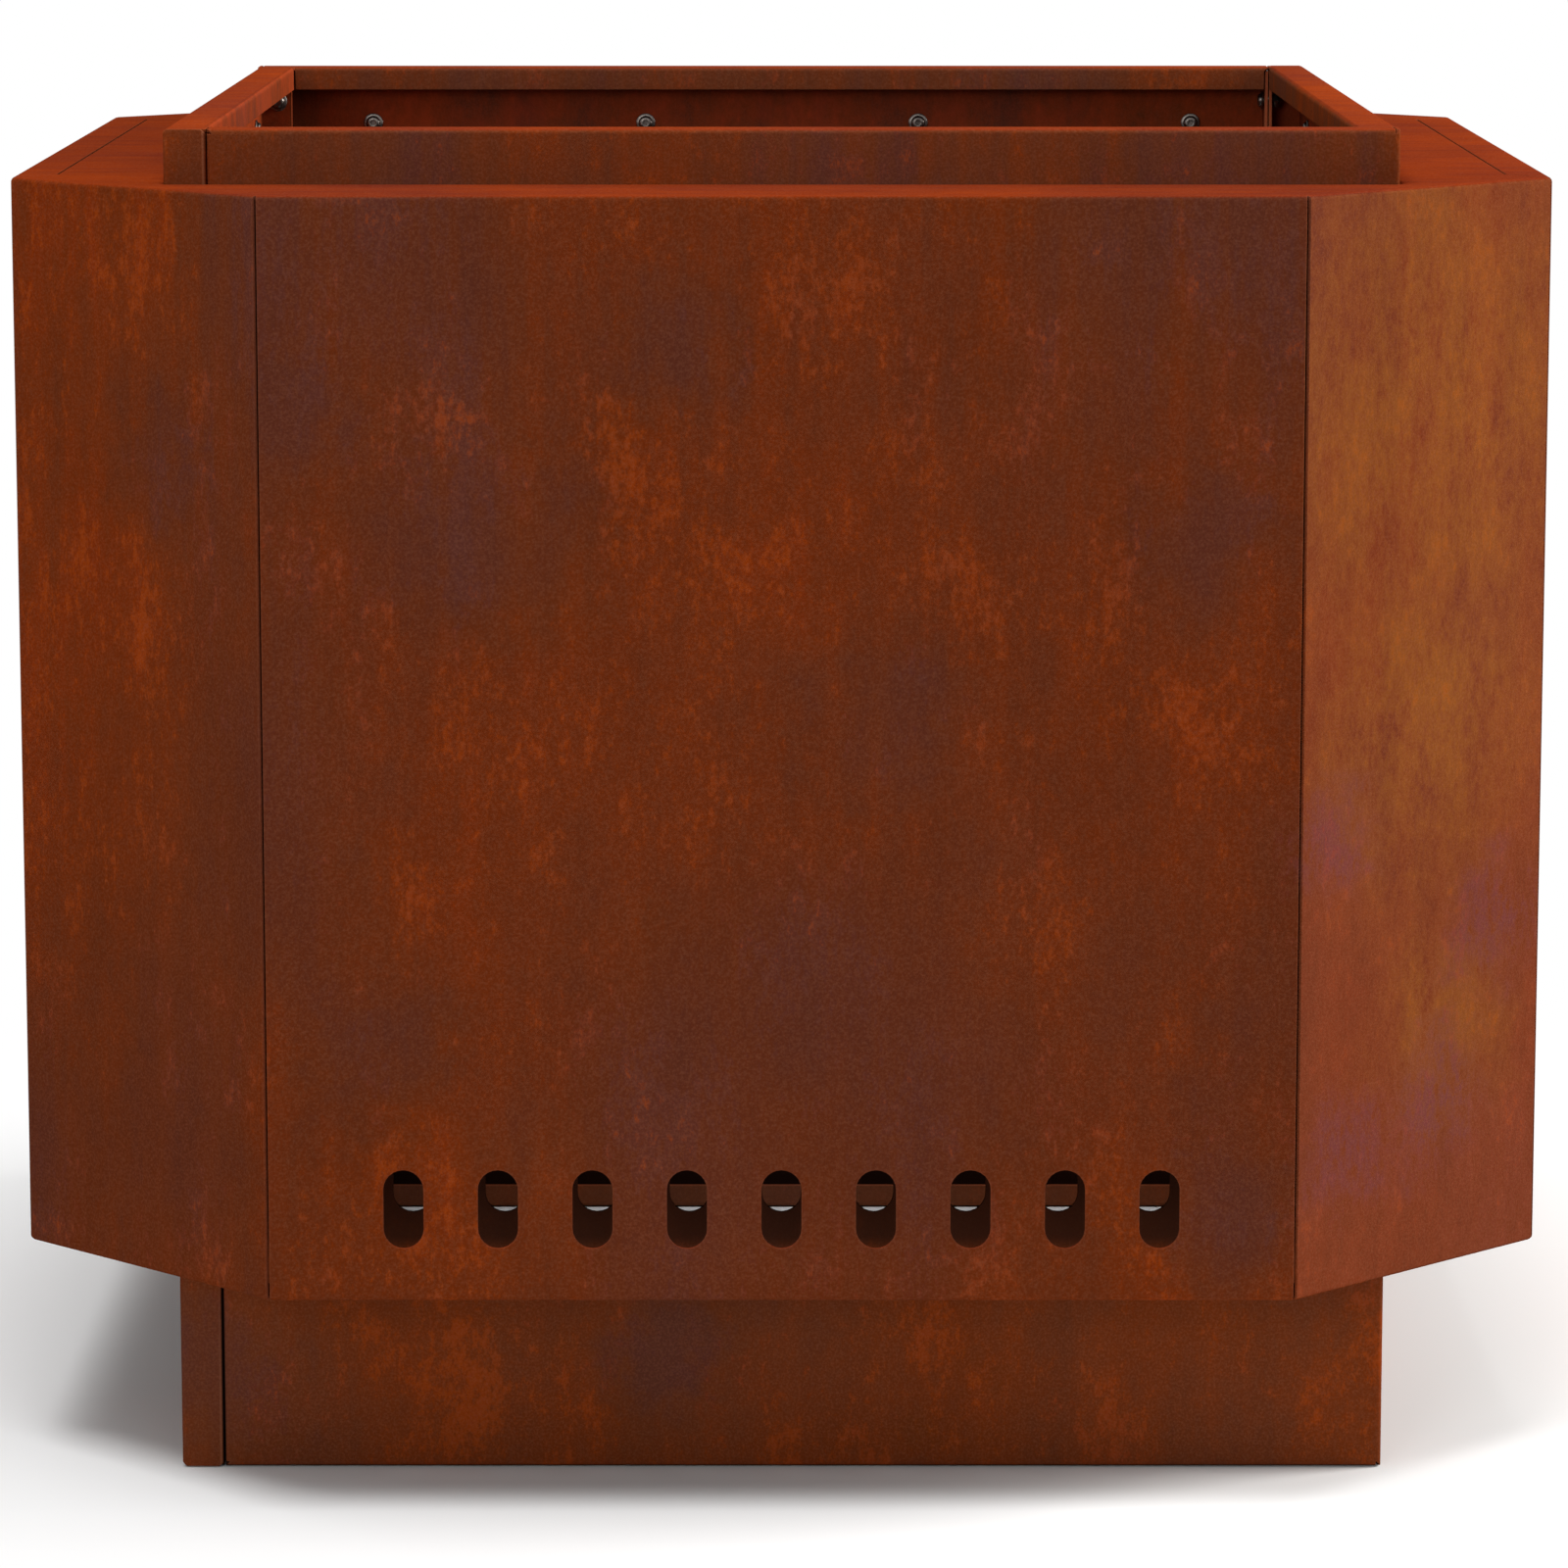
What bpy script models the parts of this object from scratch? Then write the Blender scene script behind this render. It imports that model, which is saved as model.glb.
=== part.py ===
"""Fire basket: a square firebox of four folded walls, inside an eight-sided folded shell.

Lengths are metres and +Z is up. The origin is on the ground under the middle, and the front faces -Y.
The shell hangs on the firebox by the flange round its opening. A grate in two halves lifts out.
"""

import math
from typing import NamedTuple

import bmesh
import bpy
from mathutils import Matrix, Vector

# Sheet and folds
SHEET = 0.002
BEND_INNER_RADIUS = 0.0005
BEND_STEPS = 3
FLANGE = 0.022
LIP = 0.0135
SEAM = 0.001
TOUCH = 0.0003
MERGE_DISTANCE = 0.00001

# Firebox
FIREBOX_WIDTH = 0.632
COLLAR_HEIGHT = 0.028

# Outer shell, and its distances from the firebox's walls and corners
BODY_HEIGHT = 0.565
PLINTH_HEIGHT = 0.110
WALL_GAP = 0.084
CORNER_GAP = 0.022

# Row of air slots, the same in every wall and panel
SLOT_COUNT = 9
SLOT_WIDTH = 0.0204
SLOT_HEIGHT = 0.0409
SLOT_RISE = 0.048
SLOT_END_DISTANCE = 0.070
SLOT_ARC_STEPS = 5

# Flanged button screws and their nuts
SCREW_RADIUS = 0.0025
SCREW_HOLE_CLEARANCE = 0.0002
SCREW_HOLE_SIDES = 6
SCREW_FLANGE_RADIUS = 0.0058
SCREW_FLANGE_THICKNESS = 0.0009
SCREW_HEAD_RADIUS = 0.0042
SCREW_HEAD_HEIGHT = 0.0030
SCREW_END = 0.001
SCREW_SIDES = 8
NUT_WIDTH = 0.008
NUT_HEIGHT = 0.004
NUT_SIDES = 6
NUT_CLEARANCE = 0.0005

# Where the screws are, each row's end distance taken from the corner or the end beside it
SHELL_SCREW_COUNT = 4
SHELL_SCREW_END_DISTANCE = 0.0682
CORNER_SCREW_COUNT = 4
CORNER_SCREW_END_DISTANCE = 0.0204
LEDGE_SCREW_COUNT = 2
LEDGE_SCREW_END_DISTANCE = 0.0727

# Ledges that carry the grate
LEDGE_THICKNESS = 0.003
LEDGE_WIDTH = 0.040
LEDGE_LEG = 0.028
LEDGE_GAP_ABOVE_SLOTS = 0.0117

# Grate of round rods welded on flat bars, in two halves
GRATE_CLEARANCE = 0.004
ROD_COUNT = 9
ROD_RADIUS = 0.005
ROD_SIDES = 8
CROSS_BAR_COUNT = 3
CROSS_BAR_END_DISTANCE = 0.110
CROSS_BAR_WIDTH = 0.025
CROSS_BAR_THICKNESS = 0.005
CROSS_BAR_OVERHANG = 0.001
WELD_DEPTH = 0.0005

# Colour, roughness and metallic value of each steel
FINISHES = {
    "weathering_steel": ((0.21, 0.052, 0.018), 0.8, 0.0),
    "firebox_steel": ((0.10, 0.035, 0.018), 0.85, 0.0),
    "grate_steel": ((0.045, 0.035, 0.03), 0.7, 0.0),
    "bright_steel": ((0.62, 0.61, 0.58), 0.28, 1.0),
}

# Sizes that follow
SQUARE = math.radians(90)
SHELL_CORNER = math.radians(45)
BEND = SHEET + BEND_INNER_RADIUS
FIREBOX_HALF = FIREBOX_WIDTH / 2
BODY_HALF = FIREBOX_HALF + WALL_GAP
PANEL_HALF = FIREBOX_WIDTH + CORNER_GAP * math.sqrt(2) - BODY_HALF
BODY_TOP = PLINTH_HEIGHT + BODY_HEIGHT
BODY_FLANGE = CORNER_GAP - SEAM
FIREBOX_HEIGHT = BODY_TOP + COLLAR_HEIGHT

# A corner of the shell is mitred at half its turn
SHELL_MITRE = math.tan(SHELL_CORNER / 2)
FOLD_EASE = SEAM / 4
PANEL_INSET = SHEET * SHELL_MITRE + FOLD_EASE

# A wall starts a seam past the end of the wrap that it meets
WALL_START = FLANGE + SEAM - FIREBOX_HALF
RETURN_MIDDLE = (SHEET + FLANGE) / 2
OPENING_HALF = FIREBOX_HALF - FLANGE

SLOT_ROW_HALF = PANEL_HALF - SLOT_END_DISTANCE
SLOT_CENTRE_HEIGHT = PLINTH_HEIGHT + SLOT_RISE

LEDGE_TOP = SLOT_CENTRE_HEIGHT + SLOT_HEIGHT / 2 + LEDGE_GAP_ABOVE_SLOTS + LEDGE_LEG
LEDGE_FACE = FIREBOX_HALF - SHEET - TOUCH
LEDGE_HALF_LENGTH = LEDGE_FACE - LEDGE_WIDTH - SEAM

# The hole's flats, not its corners, clear the screw
SCREW_HOLE_RADIUS = (SCREW_RADIUS + SCREW_HOLE_CLEARANCE) / math.cos(math.pi / SCREW_HOLE_SIDES)
SHELL_SCREW_HEIGHT = BODY_TOP - SHEET - NUT_WIDTH / 2 - NUT_CLEARANCE
LEDGE_SCREW_HEIGHT = LEDGE_TOP - LEDGE_THICKNESS - (LEDGE_LEG - LEDGE_THICKNESS) / 2
SHELL_SCREW_ROW_HALF = FIREBOX_HALF - SHELL_SCREW_END_DISTANCE
CORNER_SCREW_ROW_HALF = FIREBOX_HEIGHT / 2 - CORNER_SCREW_END_DISTANCE
LEDGE_SCREW_ROW_HALF = LEDGE_HALF_LENGTH - LEDGE_SCREW_END_DISTANCE

# The grate lifts out through the rim, and its bars hang between the ledges
ROD_HALF_LENGTH = OPENING_HALF - GRATE_CLEARANCE
ROD_HEIGHT = LEDGE_TOP + TOUCH + ROD_RADIUS
CROSS_BAR_HEIGHT = LEDGE_TOP + TOUCH + WELD_DEPTH - CROSS_BAR_THICKNESS / 2
CROSS_BAR_ROW_HALF = ROD_HALF_LENGTH - CROSS_BAR_END_DISTANCE
CROSS_BAR_END = LEDGE_FACE - LEDGE_WIDTH - GRATE_CLEARANCE
LAST_ROD = CROSS_BAR_END - CROSS_BAR_OVERHANG - ROD_RADIUS
ROD_PITCH = LAST_ROD / (ROD_COUNT - 0.5)

SIDES = ("front", "right", "back", "left")
CORNERS = ("front_left", "front_right", "back_right", "back_left")
QUARTER_TURNS = [Matrix.Rotation(k * SQUARE, 4, "Z") for k in range(4)]


class Flange(NamedTuple):
    """A strip folded up from an edge: its turn, and its width between outer corners.

    cut draws in its start and end over the bend, and mitre draws them in along the flat.
    """

    angle: float
    width: float
    cut: tuple = (0.0, 0.0)
    mitre: tuple = (0.0, 0.0)


def clear_scene():
    for old in list(bpy.data.objects):
        bpy.data.objects.remove(old, do_unlink=True)


def new_collection(name):
    collection = bpy.data.collections.new(name)
    bpy.context.scene.collection.children.link(collection)
    return collection


def steel(name):
    colour, roughness, metallic = FINISHES[name]
    material = bpy.data.materials.new(name)
    material.use_nodes = True
    shader = material.node_tree.nodes["Principled BSDF"]
    shader.inputs["Base Color"].default_value = (*colour, 1.0)
    shader.inputs["Roughness"].default_value = roughness
    shader.inputs["Metallic"].default_value = metallic
    return material


def mesh_from(bm, name):
    mesh = bpy.data.meshes.new(name)
    bm.to_mesh(mesh)
    bm.free()
    return mesh


def add_object(name, mesh, collection, material=None, place=None):
    part = bpy.data.objects.new(name, mesh)
    collection.objects.link(part)
    if material:
        mesh.materials.clear()
        mesh.materials.append(material)
    if place:
        part.matrix_world = place
    return part


def add_cutter(name, bm, collection):
    bmesh.ops.recalc_face_normals(bm, faces=bm.faces)
    cutter = add_object(name, mesh_from(bm, name), collection)
    cutter.hide_render = True
    cutter.display_type = "WIRE"
    return cutter


def evaluated_mesh(part):
    """The mesh of an object with its modifiers done."""
    graph = bpy.context.evaluated_depsgraph_get()
    return bpy.data.meshes.new_from_object(part.evaluated_get(graph))


def spread(count, half):
    """Evenly spaced places from -half to half."""
    return [half * (2 * i / (count - 1) - 1) for i in range(count)]


def edge_outwards(start, end, normal):
    """The direction out of a face at an edge that runs anticlockwise round its normal."""
    return (end.co - start.co).normalized().cross(normal)


def strip(bm, start, end, start_point, end_point):
    """Adds the face between an edge and a new edge, and gives the new edge."""
    new_start = bm.verts.new(start_point)
    new_end = bm.verts.new(end_point)
    bm.faces.new((end, start, new_start, new_end))
    return new_start, new_end


def fold(bm, start, end, normal, flanges):
    """Folds a chain of flanges away from the normal, each bend a true arc of outer radius BEND."""
    along = (end.co - start.co).normalized()
    outwards = edge_outwards(start, end, normal)
    setbacks = [BEND * math.tan(flange.angle / 2) for flange in flanges] + [0.0]
    for flange, setback, next_setback in zip(flanges, setbacks, setbacks[1:]):
        bend_start, bend_end = start.co.copy(), end.co.copy()
        steps = BEND_STEPS if flange.angle else 0
        for step in range(1, steps + 1):
            share = step / BEND_STEPS
            turn = flange.angle * share
            arc = normal * (math.cos(turn) - 1) + outwards * math.sin(turn)
            start_point = bend_start + arc * BEND + along * flange.cut[0] * share
            end_point = bend_end + arc * BEND - along * flange.cut[1] * share
            start, end = strip(bm, start, end, start_point, end_point)
        turned = Matrix.Rotation(flange.angle, 3, outwards.cross(normal) * -1)
        normal, outwards = turned @ normal, turned @ outwards
        reach = outwards * (flange.width - setback - next_setback)
        start_point = start.co + reach + along * flange.mitre[0]
        end_point = end.co + reach - along * flange.mitre[1]
        start, end = strip(bm, start, end, start_point, end_point)


def thicken(sheet):
    """Gives an open sheet its thickness, on the inner side."""
    solid = sheet.modifiers.new("Thickness", "SOLIDIFY")
    solid.thickness = SHEET
    solid.offset = -1
    solid.use_even_offset = True


def cut_out(part, cutter):
    cut = part.modifiers.new(cutter.name, "BOOLEAN")
    cut.operation = "DIFFERENCE"
    cut.solver = "EXACT"
    cut.object = cutter


def join(part, other):
    union = part.modifiers.new(other.name, "BOOLEAN")
    union.operation = "UNION"
    union.solver = "EXACT"
    union.object = other


def add_outline_prism(bm, points, offset):
    """A prism whose end face has the given points, pushed along the offset."""
    face = bm.faces.new([bm.verts.new(point) for point in points])
    pushed = bmesh.ops.extrude_face_region(bm, geom=[face])["geom"]
    corners = [item for item in pushed if isinstance(item, bmesh.types.BMVert)]
    bmesh.ops.translate(bm, verts=corners, vec=offset)


def add_rod(bm, centre, direction, radius, length, sides):
    """A round bar about a centre, lying along a direction."""
    place = Matrix.Translation(centre) @ direction.to_track_quat("Z", "Y").to_matrix().to_4x4()
    bmesh.ops.create_cone(
        bm,
        cap_ends=True,
        segments=sides,
        radius1=radius,
        radius2=radius,
        depth=length,
        matrix=place,
    )


def slot_outline(centre, depth):
    """An upright slot with round ends, in the plane y = depth."""
    radius = SLOT_WIDTH / 2
    rise = (SLOT_HEIGHT - SLOT_WIDTH) / 2
    points = []
    for end, first_angle in ((rise, 0.0), (-rise, math.pi)):
        for step in range(SLOT_ARC_STEPS + 1):
            angle = first_angle + math.pi * step / SLOT_ARC_STEPS
            x = centre + radius * math.cos(angle)
            z = SLOT_CENTRE_HEIGHT + end + radius * math.sin(angle)
            points.append((x, depth, z))
    return points


def add_slots(bm, face_distance):
    """The row of slots through an upright sheet whose outer face is at y = -face_distance."""
    margin = SHEET / 2
    for centre in spread(SLOT_COUNT, SLOT_ROW_HALF):
        outline = slot_outline(centre, -face_distance - margin)
        add_outline_prism(bm, outline, (0, SHEET + 2 * margin, 0))


def corner_screw_heights():
    middle = FIREBOX_HEIGHT / 2
    return [middle + rise for rise in spread(CORNER_SCREW_COUNT, CORNER_SCREW_ROW_HALF)]


def firebox_wall_sheet():
    """The front wall's open sheet. Its right end wraps the corner and its ends return inwards.

    The flange and lip along the top are repeated at the bottom. At the right the flange goes
    on without its lip, to close the corner's square.
    """
    bm = bmesh.new()
    left = WALL_START + BEND
    right = FIREBOX_HALF - BEND
    lip_end = FIREBOX_HALF - FLANGE - SEAM
    low = BEND
    high = FIREBOX_HEIGHT - BEND
    outline = [(left, low), (lip_end, low), (right, low), (right, high), (lip_end, high), (left, high)]
    corners = [bm.verts.new((x, -FIREBOX_HALF, z)) for x, z in outline]
    bm.faces.new(corners)
    low_left, low_lip, low_right, high_right, high_lip, high_left = corners
    outside = Vector((0, -1, 0))
    square = [Flange(SQUARE, FLANGE - BEND), Flange(0, BEND)]
    end_clearance = SHEET + NUT_CLEARANCE
    wrap = [
        Flange(SQUARE, FLANGE, cut=(-BEND, -BEND)),
        Flange(SQUARE, FLANGE, cut=(end_clearance, end_clearance)),
    ]
    upper = [Flange(SQUARE, FLANGE, cut=(0, -BEND)), Flange(SQUARE, LIP, cut=(0, BEND))]
    lower = [Flange(SQUARE, FLANGE, cut=(-BEND, 0)), Flange(SQUARE, LIP, cut=(BEND, 0))]
    fold(bm, high_right, high_lip, outside, square)
    fold(bm, high_lip, high_left, outside, upper)
    fold(bm, low_lip, low_right, outside, square)
    fold(bm, low_left, low_lip, outside, lower)
    fold(bm, low_right, high_right, outside, wrap)
    fold(bm, high_left, low_left, outside, [Flange(SQUARE, FLANGE)])
    bmesh.ops.remove_doubles(bm, verts=bm.verts, dist=MERGE_DISTANCE)
    return bm


def firebox_wall_cutter(collection):
    """Slots, and the holes for the shell's, the corners' and the ledge's screws."""
    bm = bmesh.new()
    add_slots(bm, FIREBOX_HALF)
    inwards = Vector((0, 1, 0))
    wall_middle = -FIREBOX_HALF + SHEET / 2
    drill = 2 * SHEET
    for x in spread(SHELL_SCREW_COUNT, SHELL_SCREW_ROW_HALF):
        centre = (x, wall_middle, SHELL_SCREW_HEIGHT)
        add_rod(bm, centre, inwards, SCREW_HOLE_RADIUS, drill, SCREW_HOLE_SIDES)
    for x in spread(LEDGE_SCREW_COUNT, LEDGE_SCREW_ROW_HALF):
        centre = (x, wall_middle, LEDGE_SCREW_HEIGHT)
        add_rod(bm, centre, inwards, SCREW_HOLE_RADIUS, drill, SCREW_HOLE_SIDES)
    return_middle = FLANGE - SHEET / 2 - FIREBOX_HALF
    for z in corner_screw_heights():
        start_return = (WALL_START + SHEET / 2, RETURN_MIDDLE - FIREBOX_HALF, z)
        wrap_return = (FIREBOX_HALF - RETURN_MIDDLE, return_middle, z)
        sideways = Vector((1, 0, 0))
        add_rod(bm, start_return, sideways, SCREW_HOLE_RADIUS, drill, SCREW_HOLE_SIDES)
        add_rod(bm, wrap_return, inwards, SCREW_HOLE_RADIUS, drill, SCREW_HOLE_SIDES)
    return add_cutter("firebox_wall_holes", bm, collection)


def add_firebox_walls(parts, cutters, material):
    """Four equal walls, each a quarter turn on from the last."""
    pattern = add_object("wall_pattern", mesh_from(firebox_wall_sheet(), "wall_pattern"), parts)
    thicken(pattern)
    cut_out(pattern, firebox_wall_cutter(cutters))
    mesh = evaluated_mesh(pattern)
    bpy.data.objects.remove(pattern)
    for side, turn in zip(SIDES, QUARTER_TURNS):
        add_object(f"firebox_wall_{side}", mesh, parts, material, turn)


def shell_plate_outline():
    """Half of the top plate's outer edge, from the front's left end round the right side.

    Each folded edge stops a bend short of the body's outline. The side is set back for the
    side panel's flange, and the seam to it leaves the corner square to the chamfer.
    """
    fold_line = BODY_HALF - BEND
    front_end = PANEL_HALF - BEND * SHELL_MITRE
    slant = math.sqrt(0.5)
    corner_x = BODY_HALF - (BEND + PANEL_INSET) * slant
    corner_y = PANEL_HALF - (BEND - PANEL_INSET) * slant
    side = BODY_HALF - FLANGE - SEAM / 2
    notch_end = PANEL_HALF + SEAM * slant - (BODY_HALF - side)
    return [(front_end, -fold_line), (corner_x, -corner_y), (side, -notch_end)]


def shell_sheet():
    """The shell's open sheet: top plate, front and back panels and chamfers, in one blank."""
    bm = bmesh.new()
    up = Vector((0, 0, 1))
    quarter = shell_plate_outline()
    right = quarter + [(x, -y) for x, y in reversed(quarter)]
    outline = right + [(-x, -y) for x, y in right]
    outer = [bm.verts.new((x, y, BODY_TOP)) for x, y in outline]
    opening = FIREBOX_HALF + TOUCH + BEND
    flap_end = FIREBOX_HALF - SHEET
    ring = [(-flap_end, -opening), (flap_end, -opening), (opening, -flap_end), (opening, flap_end)]
    ring += [(-x, -y) for x, y in ring]
    inner = [bm.verts.new((x, y, BODY_TOP)) for x, y in ring]
    loops = [bm.edges.new((loop[i - 1], loop[i])) for loop in (outer, inner) for i in range(len(loop))]
    bmesh.ops.triangle_fill(bm, edges=loops, use_beauty=True, use_dissolve=False, normal=up)
    bmesh.ops.recalc_face_normals(bm, faces=bm.faces)
    if bm.faces[0].normal.z < 0:
        bmesh.ops.reverse_faces(bm, faces=bm.faces)
    ease = PANEL_INSET - BEND * SHELL_MITRE
    draw_in = BODY_FLANGE * SHELL_MITRE
    bottom = Flange(SQUARE, BODY_FLANGE, cut=(FOLD_EASE, FOLD_EASE), mitre=(draw_in, draw_in))
    upright = Flange(SQUARE, BODY_HEIGHT, cut=(ease, ease))
    chamfers = {(0, 1): (ease, 0), (4, 5): (0, ease)}
    for half in (0, 6):
        front_start, front_end = outer[half - 1], outer[half]
        fold(bm, front_start, front_end, up, [upright, bottom])
        for (first, last), cut in chamfers.items():
            panel = Flange(SQUARE, BODY_HEIGHT, cut=cut)
            fold(bm, outer[half + first], outer[half + last], up, [panel, bottom])
    for first in range(0, len(inner), 2):
        fold(bm, inner[first + 1], inner[first], up, [Flange(SQUARE, FLANGE)])
    bmesh.ops.remove_doubles(bm, verts=bm.verts, dist=MERGE_DISTANCE)
    return bm


def add_shell(parts, cutters, material):
    shell = add_object("outer_shell", mesh_from(shell_sheet(), "outer_shell"), parts, material)
    thicken(shell)
    bm = bmesh.new()
    add_slots(bm, BODY_HALF)
    bmesh.ops.rotate(bm, verts=bm.verts, matrix=Matrix.Rotation(math.pi, 3, "Z"))
    add_slots(bm, BODY_HALF)
    flap_middle = FIREBOX_HALF + TOUCH + SHEET / 2
    for turn in QUARTER_TURNS:
        for x in spread(SHELL_SCREW_COUNT, SHELL_SCREW_ROW_HALF):
            centre = turn @ Vector((x, -flap_middle, SHELL_SCREW_HEIGHT))
            inwards = turn.to_3x3() @ Vector((0, 1, 0))
            add_rod(bm, centre, inwards, SCREW_HOLE_RADIUS, 2 * SHEET, SCREW_HOLE_SIDES)
    cut_out(shell, add_cutter("shell_holes", bm, cutters))


def side_panel_sheet():
    """A side panel's open sheet, as if it were the front: its top flange is mitred both ends."""
    bm = bmesh.new()
    half = PANEL_HALF - PANEL_INSET
    low = PLINTH_HEIGHT + BEND
    high = BODY_TOP - BEND
    outline = [(-half, low), (half, low), (half, high), (-half, high)]
    low_left, low_right, high_right, high_left = (
        bm.verts.new((x, -BODY_HALF, z)) for x, z in outline
    )
    bm.faces.new((low_left, low_right, high_right, high_left))
    outside = Vector((0, -1, 0))
    seam_offset = SEAM / 2 * math.sqrt(2)
    over_bend = BEND - PANEL_INSET + seam_offset
    along_flat = FLANGE - BEND - SEAM / 2
    draw_in = BODY_FLANGE * SHELL_MITRE
    top = Flange(
        SQUARE,
        FLANGE - SEAM / 2,
        cut=(over_bend, over_bend),
        mitre=(along_flat, along_flat),
    )
    bottom = Flange(SQUARE, BODY_FLANGE, cut=(FOLD_EASE, FOLD_EASE), mitre=(draw_in, draw_in))
    fold(bm, high_right, high_left, outside, [top])
    fold(bm, low_left, low_right, outside, [bottom])
    return bm


def add_side_panels(parts, cutters, material):
    pattern = add_object("panel_pattern", mesh_from(side_panel_sheet(), "panel_pattern"), parts)
    thicken(pattern)
    bm = bmesh.new()
    add_slots(bm, BODY_HALF)
    cut_out(pattern, add_cutter("side_panel_slots", bm, cutters))
    mesh = evaluated_mesh(pattern)
    bpy.data.objects.remove(pattern)
    add_object("side_panel_right", mesh, parts, material, QUARTER_TURNS[1])
    add_object("side_panel_left", mesh, parts, material, QUARTER_TURNS[3])


def add_ledges(parts, cutters, material):
    """Four angle ledges above the slots, level leg on top, that carry the grate's rod ends."""
    face = -LEDGE_FACE
    inner = face + LEDGE_THICKNESS
    under = LEDGE_TOP - LEDGE_THICKNESS
    profile = [
        (face, LEDGE_TOP - LEDGE_LEG),
        (inner, LEDGE_TOP - LEDGE_LEG),
        (inner, under),
        (face + LEDGE_WIDTH, under),
        (face + LEDGE_WIDTH, LEDGE_TOP),
        (face, LEDGE_TOP),
    ]
    bm = bmesh.new()
    outline = [(-LEDGE_HALF_LENGTH, y, z) for y, z in profile]
    add_outline_prism(bm, outline, (2 * LEDGE_HALF_LENGTH, 0, 0))
    bmesh.ops.recalc_face_normals(bm, faces=bm.faces)
    pattern = add_object("ledge_pattern", mesh_from(bm, "ledge_pattern"), parts)
    bm = bmesh.new()
    for x in spread(LEDGE_SCREW_COUNT, LEDGE_SCREW_ROW_HALF):
        centre = (x, (face + inner) / 2, LEDGE_SCREW_HEIGHT)
        drill = 2 * LEDGE_THICKNESS
        add_rod(bm, centre, Vector((0, 1, 0)), SCREW_HOLE_RADIUS, drill, SCREW_HOLE_SIDES)
    cut_out(pattern, add_cutter("ledge_holes", bm, cutters))
    mesh = evaluated_mesh(pattern)
    bpy.data.objects.remove(pattern)
    for side, turn in zip(SIDES, QUARTER_TURNS):
        add_object(f"grate_ledge_{side}", mesh, parts, material, turn)


def add_grate_half(side, sign, parts, cutters, material):
    """One half of the grate: rods from front to back, welded on flat bars."""
    bm = bmesh.new()
    for i in range(ROD_COUNT):
        centre = (sign * (LAST_ROD - i * ROD_PITCH), 0, ROD_HEIGHT)
        add_rod(bm, centre, Vector((0, 1, 0)), ROD_RADIUS, 2 * ROD_HALF_LENGTH, ROD_SIDES)
    grate = add_object(f"grate_{side}", mesh_from(bm, f"grate_{side}"), parts, material)
    length = (ROD_COUNT - 1) * ROD_PITCH + 2 * (ROD_RADIUS + CROSS_BAR_OVERHANG)
    middle = sign * (CROSS_BAR_END - length / 2)
    bm = bmesh.new()
    for y in spread(CROSS_BAR_COUNT, CROSS_BAR_ROW_HALF):
        place = Matrix.Translation((middle, y, CROSS_BAR_HEIGHT))
        size = Matrix.Diagonal((length, CROSS_BAR_WIDTH, CROSS_BAR_THICKNESS, 1))
        bmesh.ops.create_cube(bm, size=1, matrix=place @ size)
    join(grate, add_cutter(f"grate_{side}_cross_bars", bm, cutters))


def screw_profile(stack):
    """Half of a button head on a flange, with a shank that reaches through the stack and nut."""
    tip = -(stack + NUT_HEIGHT + SCREW_END)
    return [
        (0, SCREW_HEAD_HEIGHT),
        (SCREW_HEAD_RADIUS, SCREW_FLANGE_THICKNESS),
        (SCREW_FLANGE_RADIUS, SCREW_FLANGE_THICKNESS),
        (SCREW_FLANGE_RADIUS, 0),
        (SCREW_RADIUS, 0),
        (SCREW_RADIUS, tip),
        (0, tip),
    ]


def fastener_mesh(stack, parts, cutters):
    """A turned screw with its hexagon nut on the far side of the stack, as one solid."""
    bm = bmesh.new()
    points = [bm.verts.new((x, 0, z)) for x, z in screw_profile(stack)]
    for upper, lower in zip(points, points[1:]):
        bm.edges.new((upper, lower))
    pattern = add_object("screw_pattern", mesh_from(bm, "screw_pattern"), parts)
    turned = pattern.modifiers.new("Turned", "SCREW")
    turned.steps = turned.render_steps = SCREW_SIDES
    turned.use_merge_vertices = True
    turned.merge_threshold = MERGE_DISTANCE
    bm = bmesh.new()
    centre = (0, 0, -stack - NUT_HEIGHT / 2)
    corner_radius = NUT_WIDTH / 2 / math.cos(math.pi / NUT_SIDES)
    add_rod(bm, centre, Vector((0, 0, 1)), corner_radius, NUT_HEIGHT, NUT_SIDES)
    nut = add_cutter("nut_pattern", bm, cutters)
    join(pattern, nut)
    mesh = evaluated_mesh(pattern)
    bpy.data.objects.remove(pattern)
    bpy.data.objects.remove(nut)
    return mesh


def placed(position, head_direction):
    """The place of a screw whose head points along a level direction, a flat of its nut up."""
    out = Vector(head_direction)
    up = Vector((0, 0, 1))
    turn = Matrix((up, out.cross(up), out)).transposed().to_4x4()
    return Matrix.Translation(position) @ turn


def add_fasteners(names, row, stack, parts, cutters, material):
    """The same row of screws at each quarter turn, each screw with its nut its own object."""
    mesh = fastener_mesh(stack, parts, cutters)
    for name, turn in zip(names, QUARTER_TURNS):
        for number, place in enumerate(row, start=1):
            add_object(f"{name}_{number}", mesh, parts, material, turn @ place)


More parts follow.
